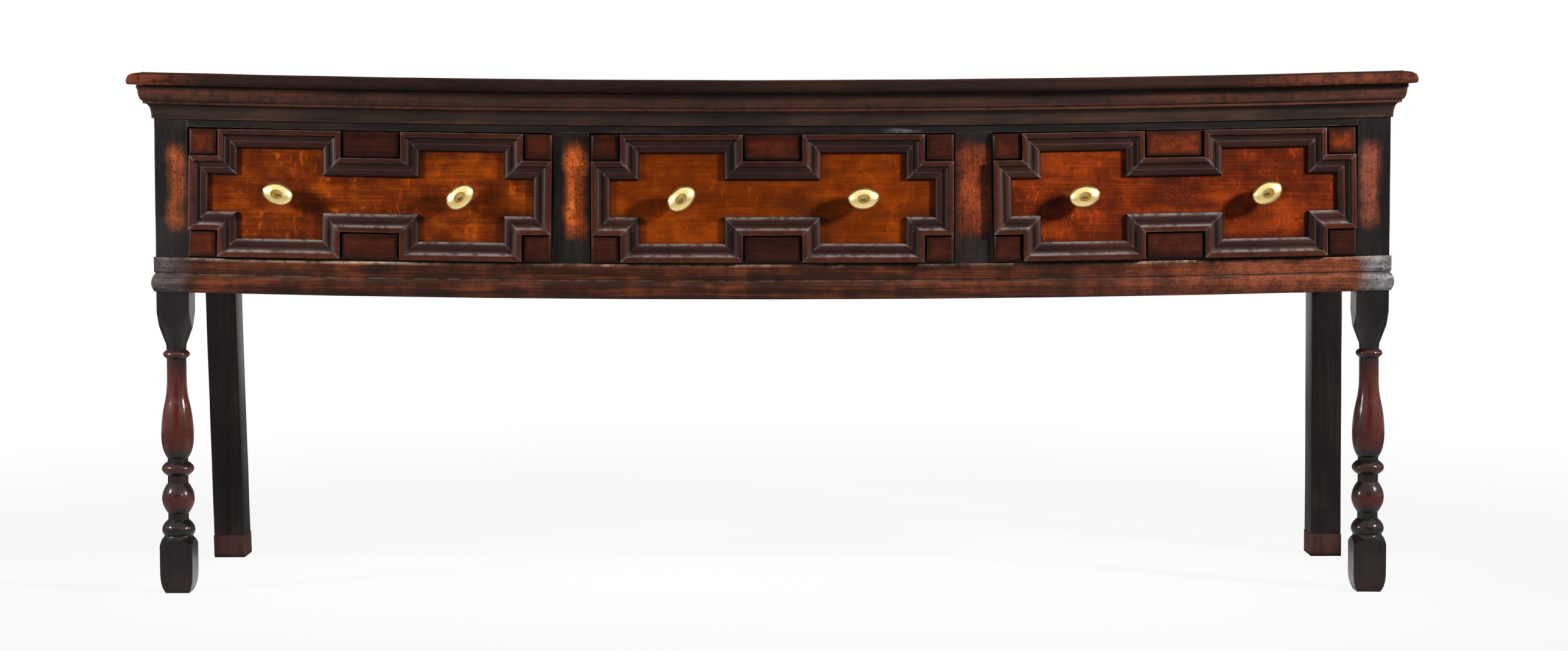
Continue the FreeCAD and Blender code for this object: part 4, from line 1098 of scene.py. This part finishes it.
def plaques(bay, tones):
    gathered = bmesh.new()
    gathered.verts.layers.float.new("rubbed")
    low, high = BAND_HALF + STRIP_WIDTH + PLAQUE_GAP, DRAWER_HALF_HEIGHT
    corner, centre = DRAWER_HALF - CORNER_PLAQUE + PLAQUE_GAP, CENTRE_PLAQUE / 2 - PLAQUE_GAP
    for column, (x0, x1) in enumerate(((-DRAWER_HALF, -corner), (-centre, centre), (corner, DRAWER_HALF))):
        for row, (z0, z1) in enumerate(((low, high), (-high, -low))):
            plaque(gathered, x0, x1, z0, z1, tones[row][column])
    hang(gathered, bay)
    return gathered


for place, bay in BAYS.items():
    name = f"{place}_drawer_plaques"
    piece = finished(plaques(bay, PLAQUE_TONES[place]), name + "_worn", oak_plaque, f"{place}_drawer",
                     "oak_plaque", name)
    print(piece.name, len(piece.data.polygons), "faces")

# %% [markdown]
# ## Brass knobs
#
# A knob is cast and then polished: an oval head on a short neck, with a small round rose against the wood.
# It is spun as a round knob first, and the head is then stretched sideways into an oval, which is simpler
# than drawing an oval in the first place. Each knob has worked loose and been pushed back at its own angle,
# so each is turned by its own tilt.

# %% Outline of a knob
HEAD_LENGTH, HEAD_HEIGHT, HEAD_DEPTH = 47.5, 34.0, 25.0
STAND_OFF = 9.5
STUD, STUD_END = 3, -30.0
ROSE_AND_NECK = [(9.4, 0), (10, 0.7), (9.6, 1.9), (8.4, 2.5), (6.6, 2.8), (6.0, 3.8), (6.0, 8.4)]
HEAD_SEAT = 7.0
HEAD_STEPS = 24


def knob_outline():
    """Radius and distance out from the field, from the end of the stud to the front of the head."""
    points = [(0, STUD_END), (STUD, STUD_END), (STUD, 0)] + ROSE_AND_NECK
    middle = STAND_OFF + HEAD_DEPTH / 2
    first = math.pi - math.asin(HEAD_SEAT / (HEAD_HEIGHT / 2))
    for i in range(HEAD_STEPS + 1):
        angle = first * (1 - i / HEAD_STEPS)
        points.append((HEAD_HEIGHT / 2 * math.sin(angle), middle - HEAD_DEPTH / 2 * math.cos(angle)))
    return points


print("knob outline:", len(knob_outline()), "points")

# %% Make the knobs
KNOB_X = 137.5 * MM
KNOB_TILTS = {"left": (-17.0, 40.0), "middle": (40.0, 5.0), "right": (10.0, 25.0)}
KNOB_STEPS = 56


def knob(name, bay, x, tilt, body):
    work = turned(knob_outline(), lambda radius, out: (radius, -out, 0), (0, 1, 0), KNOB_STEPS)
    for vert in work.verts:
        if vert.co.y < -STAND_OFF * MM:
            vert.co.x *= HEAD_LENGTH / HEAD_HEIGHT
    tilted = Matrix.Rotation(math.radians(-tilt), 3, "Y")
    bmesh.ops.rotate(work, verts=work.verts, cent=(0, 0, 0), matrix=tilted)
    bmesh.ops.translate(work, vec=(x, DRAWER_FACE, DRAWER_MIDDLE), verts=work.verts)
    hang(work, bay)
    return finished(work, name + "_turned", brass, body, "brass", name, smooth=50)


for place, bay in BAYS.items():
    knobs = [knob(f"{place}_drawer_knob_{side}", bay, x, tilt, f"{place}_drawer")
             for side, x, tilt in zip(("left", "right"), (-KNOB_X, KNOB_X), KNOB_TILTS[place])]
    print([piece.name for piece in knobs])

# %% [markdown]
# ## Finishes for the rest
#
# The boards, rails, muntins, drawer boxes, pegs and nails keep their measured shape. They only need their
# finish, with the grain along each board.

# %% Dress the measured pieces
plain = {"front_top_rail": oak_frame, "front_bottom_rail": oak_frame, "back_board": oak_back,
         "end_board_left": oak_end_board, "end_board_right": oak_end_board,
         "muntin_left": oak_muntin["left"], "muntin_right": oak_muntin["right"],
         "end_bearer_left": oak_lining_side, "end_bearer_right": oak_lining_side,
         "centre_bearer_left": oak_lining_side, "centre_bearer_right": oak_lining_side,
         "top_pegs": oak_peg, "frame_pegs": oak_peg}
for place in BAYS:
    plain |= {f"{place}_drawer_front": oak_field[place], f"{place}_drawer_back": oak_lining,
              f"{place}_drawer_bottom": oak_lining_side, f"{place}_drawer_side_left": oak_lining_side,
              f"{place}_drawer_side_right": oak_lining_side, f"{place}_drawer_knob_nuts": iron,
              f"{place}_drawer_nails": iron}
for node, finish in plain.items():
    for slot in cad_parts[node].material_slots:
        slot.material = finish
print("measured pieces dressed:", len(plain))

# %% [markdown]
# ## Floor
#
# The photograph shows a white room: a pale floor and faint shadows. The floor is white with a little of its
# own light for the camera, so that it meets the background without an edge. Near the furniture a little
# plain paint shows through that light and takes the shadow. Polish and brass mirror the floor only before
# the case and far away, because the inner sides of the legs would otherwise shine.

# %% Floor
FLOOR_HALF = 30.0
FLOOR_IN_METAL = 0.55
GLOW_NEAR, GLOW_FAR, LEAST_GLOW = 1.2, 2.8, 0.92
MIRRORED_NEAR, MIRRORED_FAR = 2.6, 5.0
BEFORE_CASE = 0.3
WHITE = (1.0, 1.0, 1.0, 1.0)
PALE_PAINT = (0.8, 0.8, 0.8, 1.0)

floor_work = bmesh.new()
bmesh.ops.create_grid(floor_work, x_segments=1, y_segments=1, size=FLOOR_HALF)
floor_mesh = bpy.data.meshes.new("floor")
floor_work.to_mesh(floor_mesh)
floor_work.free()
floor = bpy.data.objects.new("floor", floor_mesh)
bpy.context.scene.collection.objects.link(floor)

floor_finish = bpy.data.materials.new("floor")
floor_finish.use_nodes = True
tree = floor_finish.node_tree
tree.nodes.clear()
paint = add(tree, "ShaderNodeBsdfDiffuse", {"Color": PALE_PAINT})
glow = add(tree, "ShaderNodeEmission", {"Color": WHITE, "Strength": 1.0})
rays = add(tree, "ShaderNodeLightPath")
where = add(tree, "ShaderNodeTexCoord").outputs["Object"]
apart = add(tree, "ShaderNodeVectorMath", {0: where}, operation="LENGTH").outputs["Value"]
depth = add(tree, "ShaderNodeSeparateXYZ", {0: where}).outputs["Y"]
ahead = spread(tree, depth, BEFORE_CASE, -BEFORE_CASE)
mirrored = maths(tree, "MAXIMUM", ahead, spread(tree, apart, MIRRORED_NEAR, MIRRORED_FAR))
mirrored = times(tree, rays.outputs["Is Glossy Ray"], times(tree, mirrored, FLOOR_IN_METAL))
seen = maths(tree, "MAXIMUM", rays.outputs["Is Camera Ray"], mirrored)
share = times(tree, seen, spread(tree, apart, GLOW_NEAR, GLOW_FAR, LEAST_GLOW, 1.0))
surface = add(tree, "ShaderNodeMixShader", {0: share, 1: paint.outputs[0], 2: glow.outputs[0]})
add(tree, "ShaderNodeOutputMaterial", {"Surface": surface.outputs[0]})
floor_mesh.materials.append(floor_finish)
print("floor", 2 * FLOOR_HALF, "m across")

# %% [markdown]
# ## Surroundings
#
# The camera sees plain white round the furniture. Polish and brass see a studio instead: white to the sides,
# above and below, with a dark slot straight in front, where the photographer stood, and darker behind. On
# the wood itself the surroundings shed hardly any light, so that the lamps alone shape it.

# %% Surroundings
FILL = 0.03
SLOT_SIDE = (0.24, 0.4)
SLOT_TOP = (0.3, 0.5)
SLOT_LIGHT = 0.05
LIGHT_BEHIND = 0.2

world = bpy.data.worlds.new("studio")
bpy.context.scene.world = world
world.use_nodes = True
tree = world.node_tree
tree.nodes.clear()
rays = add(tree, "ShaderNodeLightPath")
way = add(tree, "ShaderNodeSeparateXYZ", {0: add(tree, "ShaderNodeTexCoord").outputs["Generated"]})
beside = spread(tree, maths(tree, "ABSOLUTE", way.outputs["X"]), *SLOT_SIDE)
above = spread(tree, maths(tree, "ABSOLUTE", way.outputs["Z"]), *SLOT_TOP)
before = spread(tree, way.outputs["Y"], 0.5, 0.0, LIGHT_BEHIND, 1.0)
lit = maths(tree, "MAXIMUM", maths(tree, "MAXIMUM", beside, above), SLOT_LIGHT)
mirrored = maths(tree, "MAXIMUM", rays.outputs["Is Glossy Ray"], rays.outputs["Is Transmission Ray"])
mirrored = times(tree, mirrored, times(tree, lit, before))
strength = maths(tree, "MAXIMUM", rays.outputs["Is Camera Ray"], mirrored)
strength = maths(tree, "MAXIMUM", strength, times(tree, rays.outputs["Is Diffuse Ray"], FILL))
sky = add(tree, "ShaderNodeBackground", {"Color": WHITE, "Strength": strength})
add(tree, "ShaderNodeOutputWorld", {"Surface": sky.outputs[0]})
print("white surroundings, fill", FILL)

# %% [markdown]
# ## Lamps
#
# Two softboxes stand well to the sides, because the knobs throw their shadows inwards and down. They are
# small, so that the shadows have clear edges, and a grid in front of each narrows its beam, so that less
# stray light fills the shadows. A weak wide lamp hangs overhead. The lamp behind only lights the back,
# which the photograph doesn't show. It makes no glare, as if it had a polarising sheet in front, because
# the inner sides of the legs would mirror it.

# %% Lamps


def softbox(name, place, target, width, height, power, beam=180.0, glare=True):
    lamp = bpy.data.lights.new(name, "AREA")
    lamp.shape = "RECTANGLE"
    lamp.size, lamp.size_y, lamp.energy = width, height, power
    lamp.spread = math.radians(beam)
    stand = bpy.data.objects.new(name, lamp)
    stand.location = place
    stand.rotation_euler = (Vector(target) - Vector(place)).to_track_quat("-Z", "Y").to_euler()
    stand.visible_glossy = glare
    bpy.context.scene.collection.objects.link(stand)
    return stand


lamps = [
    softbox("softbox_left", (-2.3, -1.05, 1.1), (-0.62, -0.23, 0.46), width=0.28, height=0.34, power=3.7,
            beam=38.0),
    softbox("softbox_right", (2.5, -1.3, 1.55), (0.15, -0.23, 0.5), width=0.28, height=0.34, power=11.8,
            beam=48.0),
    softbox("overhead", (0.0, -0.8, 3.2), (0.0, -0.1, 0.5), width=2.8, height=0.8, power=3.0),
    softbox("softbox_rear", (0.5, 3.6, 0.75), (0.0, 0.2, 0.45), width=3.0, height=1.0, power=14.0, beam=80.0,
            glare=False)]
print("lamps:", [lamp.name for lamp in lamps])
